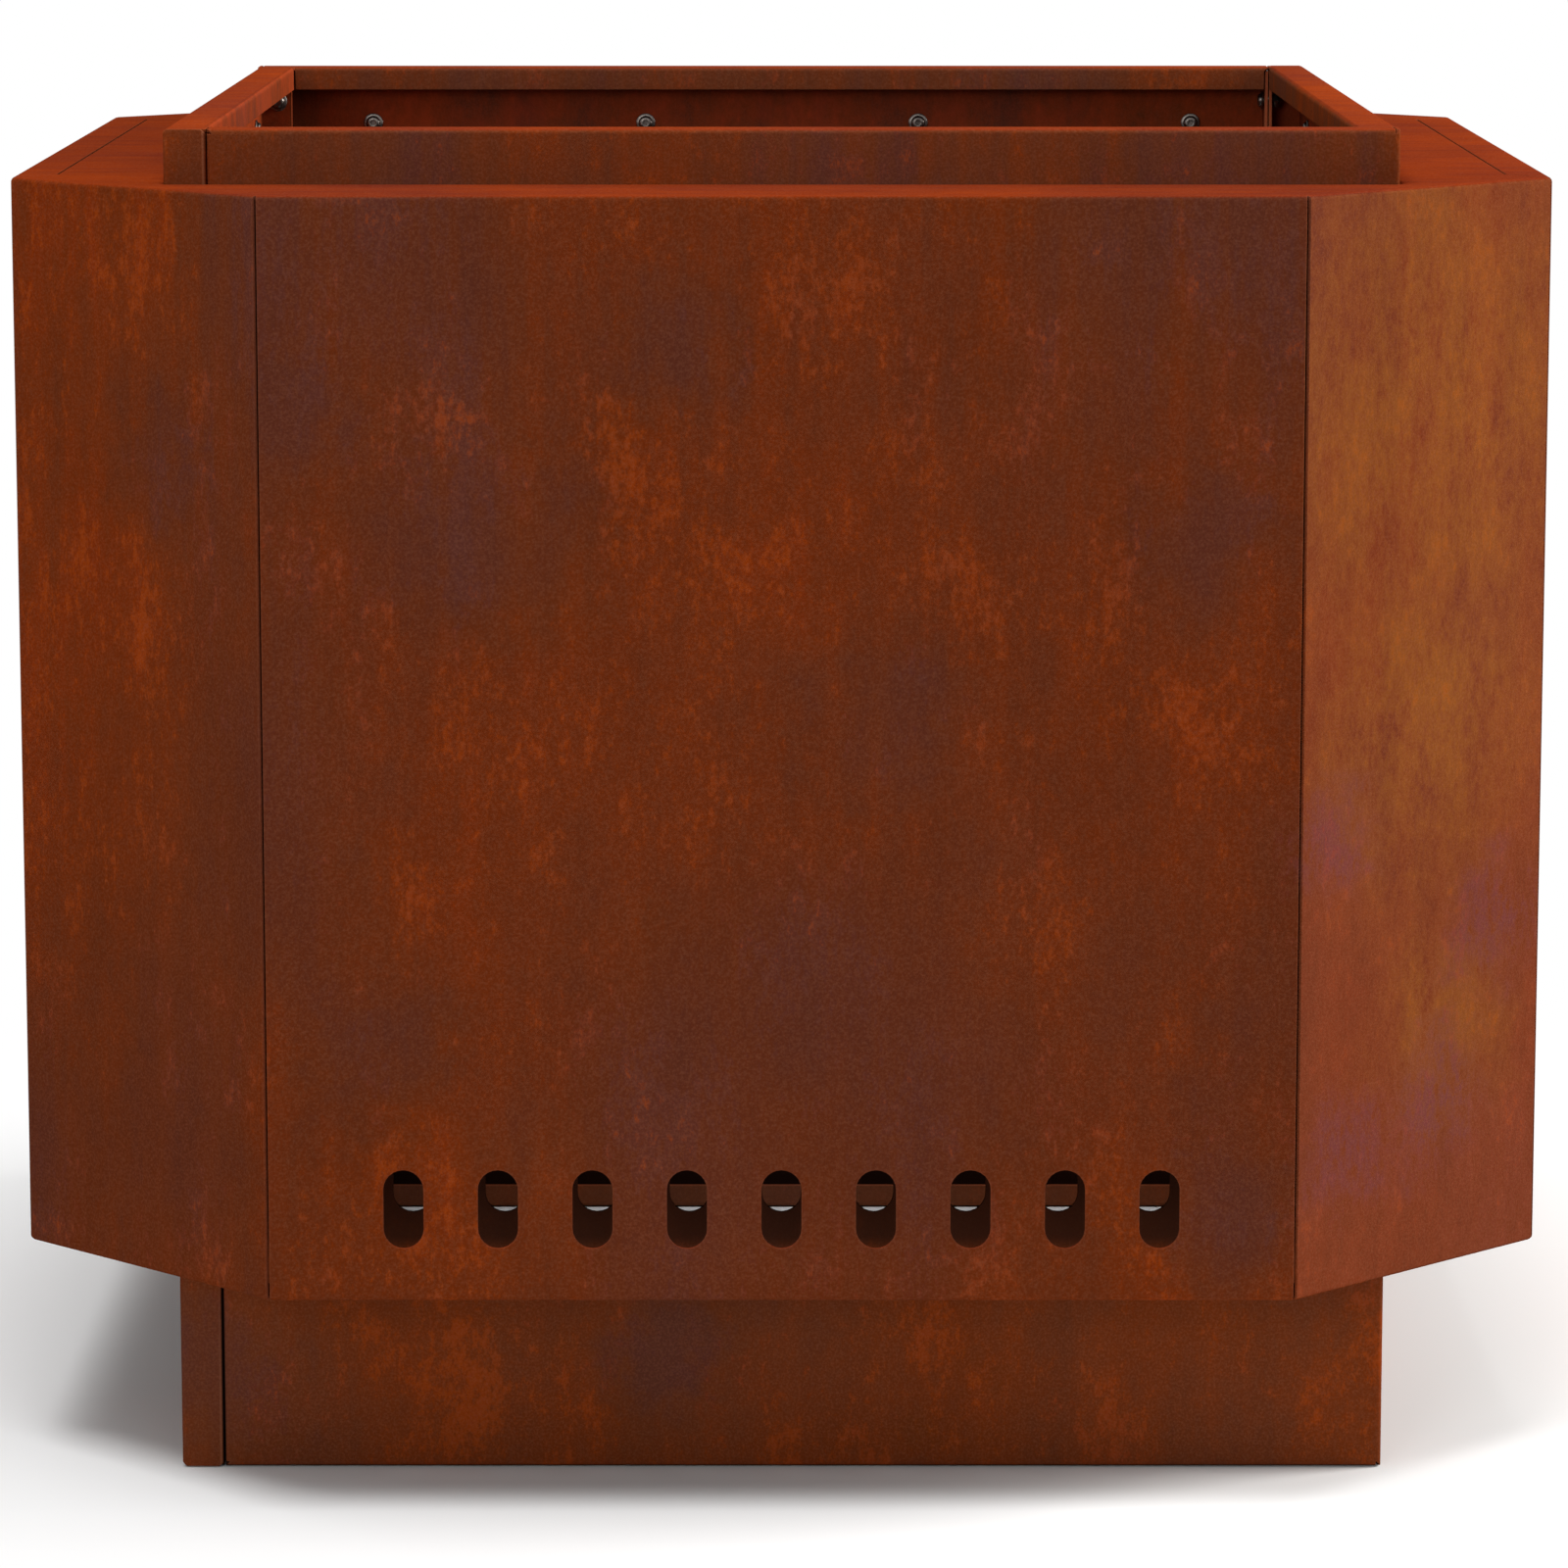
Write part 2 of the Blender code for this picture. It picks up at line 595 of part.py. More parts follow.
def add_all_fasteners(parts, cutters, material):
    wall_inside = -FIREBOX_HALF + SHEET + TOUCH
    row = [
        placed((x, wall_inside, SHELL_SCREW_HEIGHT), (0, 1, 0))
        for x in spread(SHELL_SCREW_COUNT, SHELL_SCREW_ROW_HALF)
    ]
    names = [f"shell_screw_{side}" for side in SIDES]
    add_fasteners(names, row, 2 * SHEET + 3 * TOUCH, parts, cutters, material)

    corner_x = WALL_START + SHEET + TOUCH
    corner_y = RETURN_MIDDLE - FIREBOX_HALF
    row = [placed((corner_x, corner_y, z), (1, 0, 0)) for z in corner_screw_heights()]
    names = [f"corner_screw_{corner}" for corner in CORNERS]
    add_fasteners(names, row, 2 * SHEET + SEAM + 2 * TOUCH, parts, cutters, material)

    ledge_inside = LEDGE_THICKNESS + TOUCH - LEDGE_FACE
    row = [
        placed((x, ledge_inside, LEDGE_SCREW_HEIGHT), (0, 1, 0))
        for x in spread(LEDGE_SCREW_COUNT, LEDGE_SCREW_ROW_HALF)
    ]
    names = [f"ledge_screw_{side}" for side in SIDES]
    stack = LEDGE_THICKNESS + SHEET + 3 * TOUCH
    add_fasteners(names, row, stack, parts, cutters, material)


def main():
    clear_scene()
    parts = new_collection("fire_basket")
    cutters = new_collection("cutters")
    shell_steel = steel("weathering_steel")
    grate_steel = steel("grate_steel")
    add_firebox_walls(parts, cutters, steel("firebox_steel"))
    add_shell(parts, cutters, shell_steel)
    add_side_panels(parts, cutters, shell_steel)
    add_ledges(parts, cutters, grate_steel)
    add_grate_half("left", -1, parts, cutters, grate_steel)
    add_grate_half("right", 1, parts, cutters, grate_steel)
    add_all_fasteners(parts, cutters, steel("bright_steel"))


main()
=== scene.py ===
# %% [markdown]
# # A rusted fire basket
#
# The real object is a square firebox of folded steel sheet with a second sheet shell hung round it.
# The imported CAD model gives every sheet, screw and grate bar its place and size. This script keeps
# those places and gives each sheet soft bends, cut edges and a rust that has grown on it.

import math

import bpy
import numpy as np
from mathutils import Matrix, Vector


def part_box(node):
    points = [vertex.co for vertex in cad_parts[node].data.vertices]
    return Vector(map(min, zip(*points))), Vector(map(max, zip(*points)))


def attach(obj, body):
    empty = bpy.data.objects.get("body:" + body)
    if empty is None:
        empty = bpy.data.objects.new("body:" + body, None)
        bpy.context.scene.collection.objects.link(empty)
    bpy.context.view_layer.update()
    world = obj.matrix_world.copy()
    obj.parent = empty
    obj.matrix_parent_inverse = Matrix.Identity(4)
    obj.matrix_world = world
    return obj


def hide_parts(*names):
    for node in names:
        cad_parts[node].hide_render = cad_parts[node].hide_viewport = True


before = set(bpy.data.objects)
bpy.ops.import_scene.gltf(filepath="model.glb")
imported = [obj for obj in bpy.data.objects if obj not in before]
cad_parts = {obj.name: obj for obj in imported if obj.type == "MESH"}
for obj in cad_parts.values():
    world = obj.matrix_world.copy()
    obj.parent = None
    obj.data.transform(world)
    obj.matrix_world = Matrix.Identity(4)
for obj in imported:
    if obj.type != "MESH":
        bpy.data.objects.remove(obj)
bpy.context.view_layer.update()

# %% [markdown]
# ## Camera
#
# The photograph was taken from in front, a little above the rim, with a long lens. A camera that
# tips down by nine degrees keeps the object in the middle of the frame without any lens shift. The
# price is that upright edges draw together a little towards the foot.

# %% Camera
CAMERA_PLACE = (0.0013, -3.6393, 0.9053)
CAMERA_TILT = 9.2414
CAMERA_LENS = 149.1

camera_data = bpy.data.cameras.new("camera")
camera_data.lens = CAMERA_LENS
camera = bpy.data.objects.new("camera", camera_data)
camera.location = CAMERA_PLACE
camera.rotation_euler = (math.radians(90 - CAMERA_TILT), 0, 0)
bpy.context.scene.collection.objects.link(camera)
bpy.context.scene.camera = camera
bpy.context.scene.view_settings.view_transform = "Standard"
print("camera", CAMERA_PLACE, "lens", CAMERA_LENS)

# %% [markdown]
# ## Shader maths
#
# A rust is a sum of many patterns, so its material is written as arithmetic. The class below wraps
# one socket of a node tree. Plus, minus and times on it add Math nodes, and its other methods add
# the nodes that a recipe needs often. That keeps a long recipe as readable as a formula.

# %% A socket that does arithmetic
class Wire:
    """A socket of a node tree. Arithmetic on it adds Math nodes and gives the result's wire."""

    def __init__(self, tree, socket=None):
        self.tree = tree
        self.socket = socket

    def node(self, kind, settings=None, inputs=None, output=0):
        """Adds a node: its settings are set first, then its sockets get numbers or wires."""
        made = self.tree.nodes.new("ShaderNode" + kind)
        for key, value in (settings or {}).items():
            if key == "stops":
                ramp = made.color_ramp
                while len(ramp.elements) < len(value):
                    ramp.elements.new(1.0)
                for element, (position, tone) in zip(ramp.elements, value):
                    element.position = position
                    element.color = tone
            else:
                setattr(made, key, value)
        for key, value in (inputs or {}).items():
            if isinstance(value, Wire):
                self.tree.links.new(value.socket, made.inputs[key])
            else:
                made.inputs[key].default_value = value
        return Wire(self.tree, made.outputs[output] if made.outputs else None)

    def maths(self, operation, *values):
        return self.node("Math", {"operation": operation}, dict(enumerate(values)))

    def __add__(self, other):
        return self.maths("ADD", self, other)

    def __sub__(self, other):
        return self.maths("SUBTRACT", self, other)

    def __rsub__(self, other):
        return self.maths("SUBTRACT", other, self)

    def __mul__(self, other):
        return self.maths("MULTIPLY", self, other)

    def larger(self, other):
        """The larger of two numbers."""
        return self.maths("MAXIMUM", self, other)

    def magnitude(self):
        """This number without its sign."""
        return self.maths("ABSOLUTE", self)

    def part(self, letter):
        """The X, Y or Z of this vector."""
        return self.node("SeparateXYZ", inputs={0: self}, output=letter)

    def vector(self, operation, other, output=0):
        """Vector maths on this vector and another."""
        return self.node("VectorMath", {"operation": operation}, {0: self, 1: other}, output)

    def rise(self, low, high):
        """Zero below low, one above high, and a smooth step between."""
        settings = {"interpolation_type": "SMOOTHSTEP"}
        return self.node("MapRange", settings, {"Value": self, "From Min": low, "From Max": high})

    def tint(self, other, amount):
        """This colour, with another mixed in by an amount from nought to one."""
        settings = {"data_type": "RGBA", "clamp_factor": True}
        return self.node("Mix", settings, {0: amount, 6: self, 7: other}, output=2)


def colour(red, green, blue):
    """A colour as a screen shows it, from 0 to 255, as the linear values that a shader wants."""
    screen = np.array([red, green, blue]) / 255
    linear = np.where(screen < 0.04045, screen / 12.92, ((screen + 0.055) / 1.055) ** 2.4)
    return (*(float(value) for value in linear), 1.0)


def new_finish(name):
    """An empty material, and a wire to add its nodes with."""
    material = bpy.data.materials.new(name)
    material.use_nodes = True
    material.node_tree.nodes.clear()
    return material, Wire(material.node_tree)


print("orange rust", colour(140, 60, 20))

# %% [markdown]
# ## Floor and light
#
# The floor is plain and pale. It is lit as any floor is and keeps the object's shadow, and away
# from the object it fades into a white background. A soft lamp on the right gives the right-hand
# chamfer its glow and hardly touches the front. A second one overhead, a little to the front,
# lights the top plate and reaches the ground inside the firebox. A weak one in front, at twice the
# rim's height, shines in under the back lip. An even sky lights the rest.

# %% World
SKY_STRENGTH = 0.43
WHITE = (1, 1, 1, 1)


def seen_directly(wire):
    """One for rays that show a surface to the camera, straight, mirrored or through glass."""
    kinds = ("Is Camera Ray", "Is Glossy Ray", "Is Transmission Ray")
    straight, mirrored, through = (wire.node("LightPath", output=kind) for kind in kinds)
    return straight.larger(mirrored).larger(through)


world = bpy.data.worlds.new("studio")
bpy.context.scene.world = world
world.use_nodes = True
world.node_tree.nodes.clear()
sky = Wire(world.node_tree)
strength = seen_directly(sky) * (1 - SKY_STRENGTH) + SKY_STRENGTH
backdrop = sky.node("Background", inputs={"Color": WHITE, "Strength": strength})
sky.node("OutputWorld", inputs={"Surface": backdrop})
print("sky", SKY_STRENGTH)

# %% Floor
FLOOR_SIZE = 60.0
# Just under the feet, so that no two faces coincide
FLOOR_HEIGHT = -0.0006
FLOOR_GREY = (0.80, 0.80, 0.80, 1)
FADE_START, FADE_END = 0.38, 1.05

floor_mesh = bpy.data.meshes.new("floor")
far_off = FLOOR_SIZE / 2
floor_corners = [(-far_off, -far_off), (far_off, -far_off), (far_off, far_off), (-far_off, far_off)]
floor_mesh.from_pydata([(x, y, FLOOR_HEIGHT) for x, y in floor_corners], [], [(0, 1, 2, 3)])
floor = bpy.data.objects.new("floor", floor_mesh)
bpy.context.scene.collection.objects.link(floor)

floor_finish, ground = new_finish("pale_floor")
place = ground.node("TexCoord", output="Object")
distance = ground.node("VectorMath", {"operation": "LENGTH"}, {0: place}, output="Value")
near = ground.node("BsdfDiffuse", inputs={"Color": FLOOR_GREY})
white = ground.node("Emission", inputs={"Color": WHITE, "Strength": 1.0})
far = seen_directly(ground) * distance.rise(FADE_START, FADE_END)
surface = ground.node("MixShader", inputs={0: far, 1: near, 2: white})
ground.node("OutputMaterial", inputs={"Surface": surface})
floor_mesh.materials.append(floor_finish)
print("floor", FLOOR_SIZE)


# %% Lamps
def add_softbox(name, place, target, size, watts, warmth):
    """A square area lamp that faces a target."""
    data = bpy.data.lights.new(name, "AREA")
    data.shape = "SQUARE"
    data.size = size
    data.energy = watts
    data.color = warmth
    lamp = bpy.data.objects.new(name, data)
    lamp.location = place
    lamp.rotation_euler = (Vector(target) - Vector(place)).to_track_quat("-Z", "Y").to_euler()
    bpy.context.scene.collection.objects.link(lamp)


add_softbox("key_softbox", (2.55, 0.15, 1.40), (0, 0, 0.4), 1.2, 95, (1.0, 0.98, 0.95))
add_softbox("top_softbox", (-0.5, -0.95, 4.2), (0, 0, 0.3), 2.0, 142, (1.0, 1.0, 1.0))
add_softbox("front_softbox", (-1.5, -4.6, 1.56), (0, 0, 0.45), 1.4, 34, (1.0, 1.0, 1.0))

# %% [markdown]
# ## Rust
#
# Seen closely, this rust changes its hue far more than its brightness: green stays the same while
# red and blue trade places. So a sum of noises, the growth, runs along a palette from slate over
# brown to orange, and the stops of each palette have nearly the same green. Listed marks push the
# growth up or down where the real sheets are orange or slate. Another noise bends their edges, so
# that no mark shows as a disc.

# %% Rust colours
def palette(*stops):
    """The stops of a colour ramp, from rows of a growth and the colour that it shows as."""
    return [(growth, colour(*shown)) for growth, shown in stops]


SHELL_PALETTE = palette(
    (0.28, (84, 40, 27)), (0.40, (92, 40, 19)), (0.50, (102, 40, 13)), (0.60, (113, 40, 10)),
    (0.72, (127, 45, 7)),
)
FIREBOX_PALETTE = palette(
    (0.28, (86, 46, 34)), (0.40, (95, 46, 25)), (0.50, (105, 46, 19)), (0.60, (115, 46, 15)),
    (0.72, (127, 50, 11)),
)
# Faces that look up: a lighter rust, partly its own tone and partly painted light from above
TOP_RUST_AND_LIGHT = palette((0.30, (108, 36, 18)), (0.48, (121, 42, 14)), (0.66, (134, 48, 11)))
RUST_SLATE = colour(84, 45, 39)
RUST_PURPLE = colour(96, 49, 49)
# Ochre and tan: partly their own colour, partly painted light on faces that look to the right
OCHRE_AND_LIGHT = colour(119, 68, 27)
TAN_AND_LIGHT = colour(113, 53, 33)
# Pale dust, and also the colour of the painted highlight on cut edges and folds
DUST_AND_HIGHLIGHT = colour(170, 110, 80)
RUST_FLECK = colour(146, 60, 14)
# Painted light inside the firebox, below the rim and on the rim's lip
WARM_LIGHT = colour(150, 58, 30)
# Painted shade on the firebox's outer face under the shell
SHELL_SHADE = colour(50, 28, 20)
# Painted shade low inside the firebox and on the lip at its rim
INSIDE_SHADE = colour(32, 20, 16)
print("stops of the shell's palette", len(SHELL_PALETTE))

# %% [markdown]
# ## Placed marks
#
# A mark is a soft ball round a point on a sheet, given as x, y, z and size in metres. The front
# panel lies at y = -0.4 and the plinth at y = -0.316. Ochre and purple marks lie on the right-hand
# chamfer, and the ochre ones are partly painted light.

# %% Placed marks
ORANGE_MARKS = [
    (-0.190, -0.4, 0.562, 0.036), (-0.085, -0.4, 0.546, 0.030), (-0.010, -0.4, 0.478, 0.028),
    (0.128, -0.4, 0.302, 0.032), (0.210, -0.4, 0.254, 0.030),
    (-0.153, -0.316, 0.034, 0.030), (0.300, -0.316, 0.050, 0.030),
]
SLATE_MARKS = [
    (-0.140, -0.4, 0.506, 0.050), (-0.048, -0.4, 0.600, 0.032), (-0.238, -0.4, 0.566, 0.026),
    (0.220, -0.4, 0.150, 0.034), (-0.200, -0.4, 0.240, 0.036), (-0.323, -0.34, 0.534, 0.036),
    (0.050, -0.4, 0.410, 0.040), (0.215, -0.4, 0.505, 0.034),
    (-0.066, -0.316, 0.060, 0.026), (-0.305, -0.316, 0.055, 0.040),
]
OCHRE_AND_LIGHT_MARKS = [
    (0.332, -0.331, 0.560, 0.130), (0.332, -0.331, 0.400, 0.090), (0.345, -0.318, 0.240, 0.050),
]
PURPLE_MARKS = [
    (0.282, -0.381, 0.345, 0.030), (0.375, -0.288, 0.290, 0.034), (0.340, -0.323, 0.200, 0.036),
    (0.290, -0.373, 0.186, 0.030),
]
# Where a mark starts to fade and where it ends, as shares of its size
MARK_CORE, MARK_RIM = 0.3, 1.6
# The size of the noise that bends the marks, and how far it pushes
RAGGED_SIZE, RAGGED_REACH = 0.030, 0.085


def noise(wire, place, size, detail, roughness=0.5, seed=0.0, output=0):
    """Clouds whose puffs are about size metres wide, as numbers round a half.

    The seed moves the pattern along, so that no two noises are alike.
    """
    moved = place.vector("ADD", (seed, seed * 0.7, seed * 1.3))
    inputs = {"Vector": moved, "Scale": 1 / size, "Detail": detail, "Roughness": roughness}
    return wire.node("TexNoise", {"noise_dimensions": "3D"}, inputs, output=output)


def ragged(wire, place):
    """Coordinates pushed about by a noise's colour, which gives placed marks a ragged edge."""
    push = noise(wire, place, RAGGED_SIZE, 4, 0.7, 9.0, 1).vector("SUBTRACT", (0.5, 0.5, 0.5))
    push = wire.node("VectorMath", {"operation": "SCALE"}, {0: push, "Scale": RAGGED_REACH})
    return push.vector("ADD", place)


def placed_marks(place, marks):
    """The largest of the placed marks at a point: each is one in its middle and nought at its rim."""
    best = None
    for x, y, z, size in marks:
        apart = place.vector("DISTANCE", (x, y, z), "Value")
        mark = 1.0 - apart.rise(size * MARK_CORE, size * MARK_RIM)
        best = mark if best is None else best.larger(mark)
    return best


print("marks", len(ORANGE_MARKS + SLATE_MARKS + OCHRE_AND_LIGHT_MARKS + PURPLE_MARKS))

# %% [markdown]
# ## Where the rust differs, and where light and shade are painted
#
# Faces of the shell that look to the right are tan, with ochre and purple. The tan and the ochre are
# lighter than the rest: partly their own colour, partly painted light from the lamp on the right. The
# firebox carries painted shade on its outer face under the shell, low down inside and a little on the
# lip at its rim, and dust on the lip at its foot. A warm painted light lies just below the rim, and on
# the rim's lip where it looks to the right. The firebox's masks measure how far a point reaches from
# the upright axis, and how high it is, each as the two ends of a soft step in metres.

# %% Tints
OUTER_FACE = (0.3148, 0.3154)
BEHIND_LIPS = (0.2962, 0.2968)
# Heights of the painted shade on the firebox's outer face under the shell
SHELL_SHADE_FOOT, SHELL_SHADE_TOP = (0.112, 0.125), (0.655, 0.668)
# The top of the painted shade low inside
INSIDE_SHADE_TOP = (0.20, 0.42)
FOOT_LIP_TOP = (0.016, 0.024)
DUST_TOP = (0.014, 0.016)
RIM_LIP_FOOT = (0.60, 0.66)
# Heights of the painted light below the rim
WARM_LIGHT_FOOT, WARM_LIGHT_TOP = (0.45, 0.62), (0.690, 0.694)


def shell_tints(skin, place, rightwards, patch, lace):
    """Tan, ochre and purple on the faces that look to the right; tan and ochre are partly painted light.
    """
    ochre_and_light = placed_marks(place, OCHRE_AND_LIGHT_MARKS)
    purple = placed_marks(place, PURPLE_MARKS)
    # Painted light: faces that look to the right are made lighter, as tan and, on the chamfer, as ochre
    skin = skin.tint(TAN_AND_LIGHT, rightwards * (patch * 0.9 + lace * 0.9 + 0.55))
    skin = skin.tint(OCHRE_AND_LIGHT, ochre_and_light * rightwards * (patch * 2.6 + lace * 1.6 + 0.5))
    return skin.tint(RUST_PURPLE, purple * (patch * 3.6 + lace * 3.0 + 0.45))


def firebox_tints(skin, place, rightwards, patch, lace):
    """Painted shade under the shell and low inside, dust on the foot lip, and painted light below the rim.
    """
    x, y, z = (place.part(letter) for letter in "XYZ")
    reach = x.magnitude().larger(y.magnitude())
    outer = reach.rise(*OUTER_FACE)
    inner = 1.0 - outer
    behind = reach.rise(*BEHIND_LIPS)
    lips = inner * (1.0 - behind)
    rim_lip = lips * z.rise(*RIM_LIP_FOOT)
    shaded_by_shell = outer * z.rise(*SHELL_SHADE_FOOT) * (1.0 - z.rise(*SHELL_SHADE_TOP))
    shaded_inside = inner * (1.0 - z.rise(*INSIDE_SHADE_TOP)) * behind.larger(z.rise(*FOOT_LIP_TOP)) + rim_lip * 0.22
    dusty = lips * (1.0 - z.rise(*DUST_TOP))
    warm_lit = inner * behind * z.rise(*WARM_LIGHT_FOOT) * (1.0 - z.rise(*WARM_LIGHT_TOP)) + rim_lip * rightwards
    # Painted shade on the outer face under the shell
    skin = skin.tint(SHELL_SHADE, shaded_by_shell * 0.85)
    # Painted shade low inside and on the lip at the rim
    skin = skin.tint(INSIDE_SHADE, shaded_inside * 0.9)
    skin = skin.tint(DUST_AND_HIGHLIGHT, dusty * 0.18)
    # Painted light below the rim, and on the rim's lip where it looks to the right, towards the lamp
    return skin.tint(WARM_LIGHT, warm_lit * (patch * 1.8 + lace * 0.8 + 0.45))


# The mill scale that this prints is painted shade
print("mill scale from", SHELL_SHADE_FOOT[0], "to", SHELL_SHADE_TOP[1])

# %% [markdown]
# ## The rust recipe
#
# Five noises of different sizes make the pattern: streaks that run down, clouds, patches, a fine
# lace and a slow change of brightness. A sixth, the grain, makes the dust. The noises are drawn out
# a little upright, as rain does, and the top plate's streaks run from side to side. Slate lies as a
# veil on the dull parts and orange as flecks on the bright ones.

# %% Rust
UPRIGHT_STRETCH = (1, 1, 0.55)
STREAK_DOWN, STREAK_ALONG = (1, 1, 0.08), (0.14, 1, 1)
FACING_UP, FACING_RIGHT = (0.5, 0.9), (0.45, 0.65)
STREAKS_GROW = (0.30, 0.68)
BUMP_REACH = 0.0006


def rust(name, ramp, depth, on_shell):
    """Rust as a ramp along the growth, with slate, tints, flecks, dust, painted light and shade, and a
    grainy bump.

    Depth is its brightness. The shell's tints lie below the flecks, the firebox's on top of all.
    """
    material, wire = new_finish(name)
    place = wire.node("TexCoord", output="Object")
    facing = wire.node("TexCoord", output="Normal")
    level = facing.part("Z").rise(*FACING_UP)
    rightwards = facing.part("X").rise(*FACING_RIGHT)
    high = place.part("Z").rise(*STREAKS_GROW)
    down, along = place.vector("MULTIPLY", STREAK_DOWN), place.vector("MULTIPLY", STREAK_ALONG)
    runs = wire.node("Mix", {"data_type": "VECTOR"}, {0: level, 4: down, 5: along}, output=1)
    upright = place.vector("MULTIPLY", UPRIGHT_STRETCH)

    streak = noise(wire, runs, 0.014, 3, 0.6, 3.1) - 0.5
    cloud = noise(wire, upright, 0.16, 2, 0.5, 11.0) - 0.5
    patch = noise(wire, upright, 0.034, 6, 0.72, 23.0) - 0.5
    lace = noise(wire, upright, 0.0045, 3, 0.75, 41.0) - 0.5
    shade = noise(wire, upright, 0.075, 3, 0.6, 31.0) - 0.5
    grain = noise(wire, place, 0.0013, 1, 0.7, 5.0)

    bent = ragged(wire, place)
    bright, dull = placed_marks(bent, ORANGE_MARKS), placed_marks(bent, SLATE_MARKS)
    run = streak * (high * 0.22 + 0.12)
    growth = cloud * 0.54 + patch * 0.38 + lace * 0.12 + run + 0.435 + bright * 0.06 - dull * 0.12
    veil = patch * 0.8 + lace * 0.5 - cloud * 0.6 - run * 0.9 + dull * 0.10
    flecks = patch * 1.7 + lace * 1.5 + cloud * 0.6 + run * 0.5 + bright * 0.20 - dull * 0.2

    skin = wire.node("ValToRGB", {"stops": ramp}, {0: growth})
    skin = skin.tint(RUST_SLATE, veil.rise(0.05, 0.22) * 0.6)
    if on_shell:
        skin = shell_tints(skin, bent, rightwards, patch, lace)
    skin = skin.tint(RUST_FLECK, flecks.rise(0.10, 0.50) * (0.48 - rightwards * 0.20))
    # Faces that look up take the top's lighter rust, partly painted light from above
    top = wire.node("ValToRGB", {"stops": TOP_RUST_AND_LIGHT}, {0: growth})
    skin = skin.tint(top, level * 0.86)
    skin = skin.tint(DUST_AND_HIGHLIGHT, (grain - 0.40) * 0.30)
    # Cut edges and the folds beside the seams are lighter: partly rust, partly a painted highlight
    edge = wire.node("Attribute", {"attribute_name": "cut_edge"}, output="Fac")
    skin = skin.tint(DUST_AND_HIGHLIGHT, edge * 0.30)
    if not on_shell:
        skin = firebox_tints(skin, place, rightwards, patch, lace)

    brightness = {"Value": streak * 0.12 + shade * 0.26 + depth, "Color": skin}
    skin = wire.node("HueSaturation", inputs=brightness)
    height = grain * 0.5 + lace * 0.7 + patch * 0.5
    bump = wire.node("Bump", inputs={"Height": height, "Strength": 0.25, "Distance": BUMP_REACH})
    dull_finish = {"Roughness": 0.95 - growth * 0.15, "Specular IOR Level": 0.0}
    inputs = {"Base Color": skin, "Normal": bump, **dull_finish}
    shader = wire.node("BsdfPrincipled", inputs=inputs)
    wire.node("OutputMaterial", inputs={"Surface": shader})
    return material


shell_rust = rust("shell_finish", SHELL_PALETTE, depth=0.915, on_shell=True)
firebox_rust = rust("firebox_finish", FIREBOX_PALETTE, depth=1.02, on_shell=False)
print("nodes of the shell's rust", len(shell_rust.node_tree.nodes))


# %% Steel and slots
def steel(name, dark, light, metallic, rough):
    """Plain steel: two tones mixed by a fine and a broad noise, with a slight grain in the bump."""
    material, wire = new_finish(name)
    place = wire.node("TexCoord", output="Object")
    broad = noise(wire, place, 0.030, 3, 0.6, 2.0)
    fine = noise(wire, place, 0.0016, 2, 0.6, 6.0)
    mixed = (broad * 0.65 + fine * 0.35).rise(0.38, 0.62)
    skin = wire.node("Mix", {"data_type": "RGBA"}, {0: mixed, 6: dark, 7: light}, output=2)
    bump = wire.node("Bump", inputs={"Height": fine, "Strength": 0.15, "Distance": BUMP_REACH / 2})
    inputs = {"Base Color": skin, "Metallic": metallic, "Roughness": fine * 0.15 + rough, "Normal": bump}
    shader = wire.node("BsdfPrincipled", inputs=inputs)
    wire.node("OutputMaterial", inputs={"Surface": shader})
    return material


grate_steel = steel("grate_finish", colour(46, 36, 32), colour(92, 62, 46), 0.35, 0.62)
bright_steel = steel("screw_finish", colour(88, 80, 76), colour(124, 116, 110), 1.0, 0.26)

# %% [markdown]
# ## Folded sheet
#
# Each wall and panel is one flat steel sheet, cut by laser and folded on a press. A box with a
# bevel would show the outside, but not the folded rim, the open seams or the thickness of a slot.
# So each sheet is worked out as the press makes it: a flat grid of points, with rows of points
# that run on over each bend. Thickness and soft cut edges come last, all the way round.

# %% Sheet sizes
SHEET = 0.002
BEND = 0.0025
FLANGE = 0.022
LIP = 0.0135
SEAM = 0.001
TOUCH = 0.0003
NUT_CLEARANCE = 0.0005
BEND_ROWS = 6

# The photograph's seams between the walls are finer than the solids' are
WALL_SEAM = SEAM * 0.6
# The upright flanges inside end a little early, so that they stay behind the lips
END_EASE = 0.0015

FIREBOX_HALF = 0.316
FIREBOX_HEIGHT = 0.703
BODY_HALF = 0.400
BODY_LOW, BODY_TOP = 0.110, 0.675
CORNER_GAP = 0.022
PANEL_HALF = 2 * FIREBOX_HALF + CORNER_GAP * math.sqrt(2) - BODY_HALF
BODY_FLANGE = 0.021
WALL_START = FLANGE + WALL_SEAM - FIREBOX_HALF
SHELL_MITRE = math.tan(math.radians(22.5))
FOLD_EASE = SEAM / 4
PANEL_INSET = SHEET * SHELL_MITRE + FOLD_EASE
SQUARE = math.radians(90)
# Ends of a flange that are neither drawn in nor mitred
PLAIN = (0.0, 0.0)
UP = np.array([0.0, 0.0, 1.0])
FORWARDS = np.array([0.0, -1.0, 0.0])
SIDES = ("front", "right", "back", "left")
print("half width of the front panel", round(PANEL_HALF, 5))


# %% Grids of points
def quads(rows, columns, flip=False):
    """The faces of a grid, as the numbers of their four corners, row by row."""
    number = np.arange(rows * columns).reshape(rows, columns)
    corners = [number[:-1, :-1], number[:-1, 1:], number[1:, 1:], number[1:, :-1]]
    return np.stack(corners[::-1] if flip else corners, axis=-1).reshape(-1, 4)


def between(start, end, shares):
    """Points on a line: the start plus each share of the way to the end."""
    start, end = np.array(start, float), np.array(end, float)
    return start + np.asarray(shares)[:, None] * (end - start)


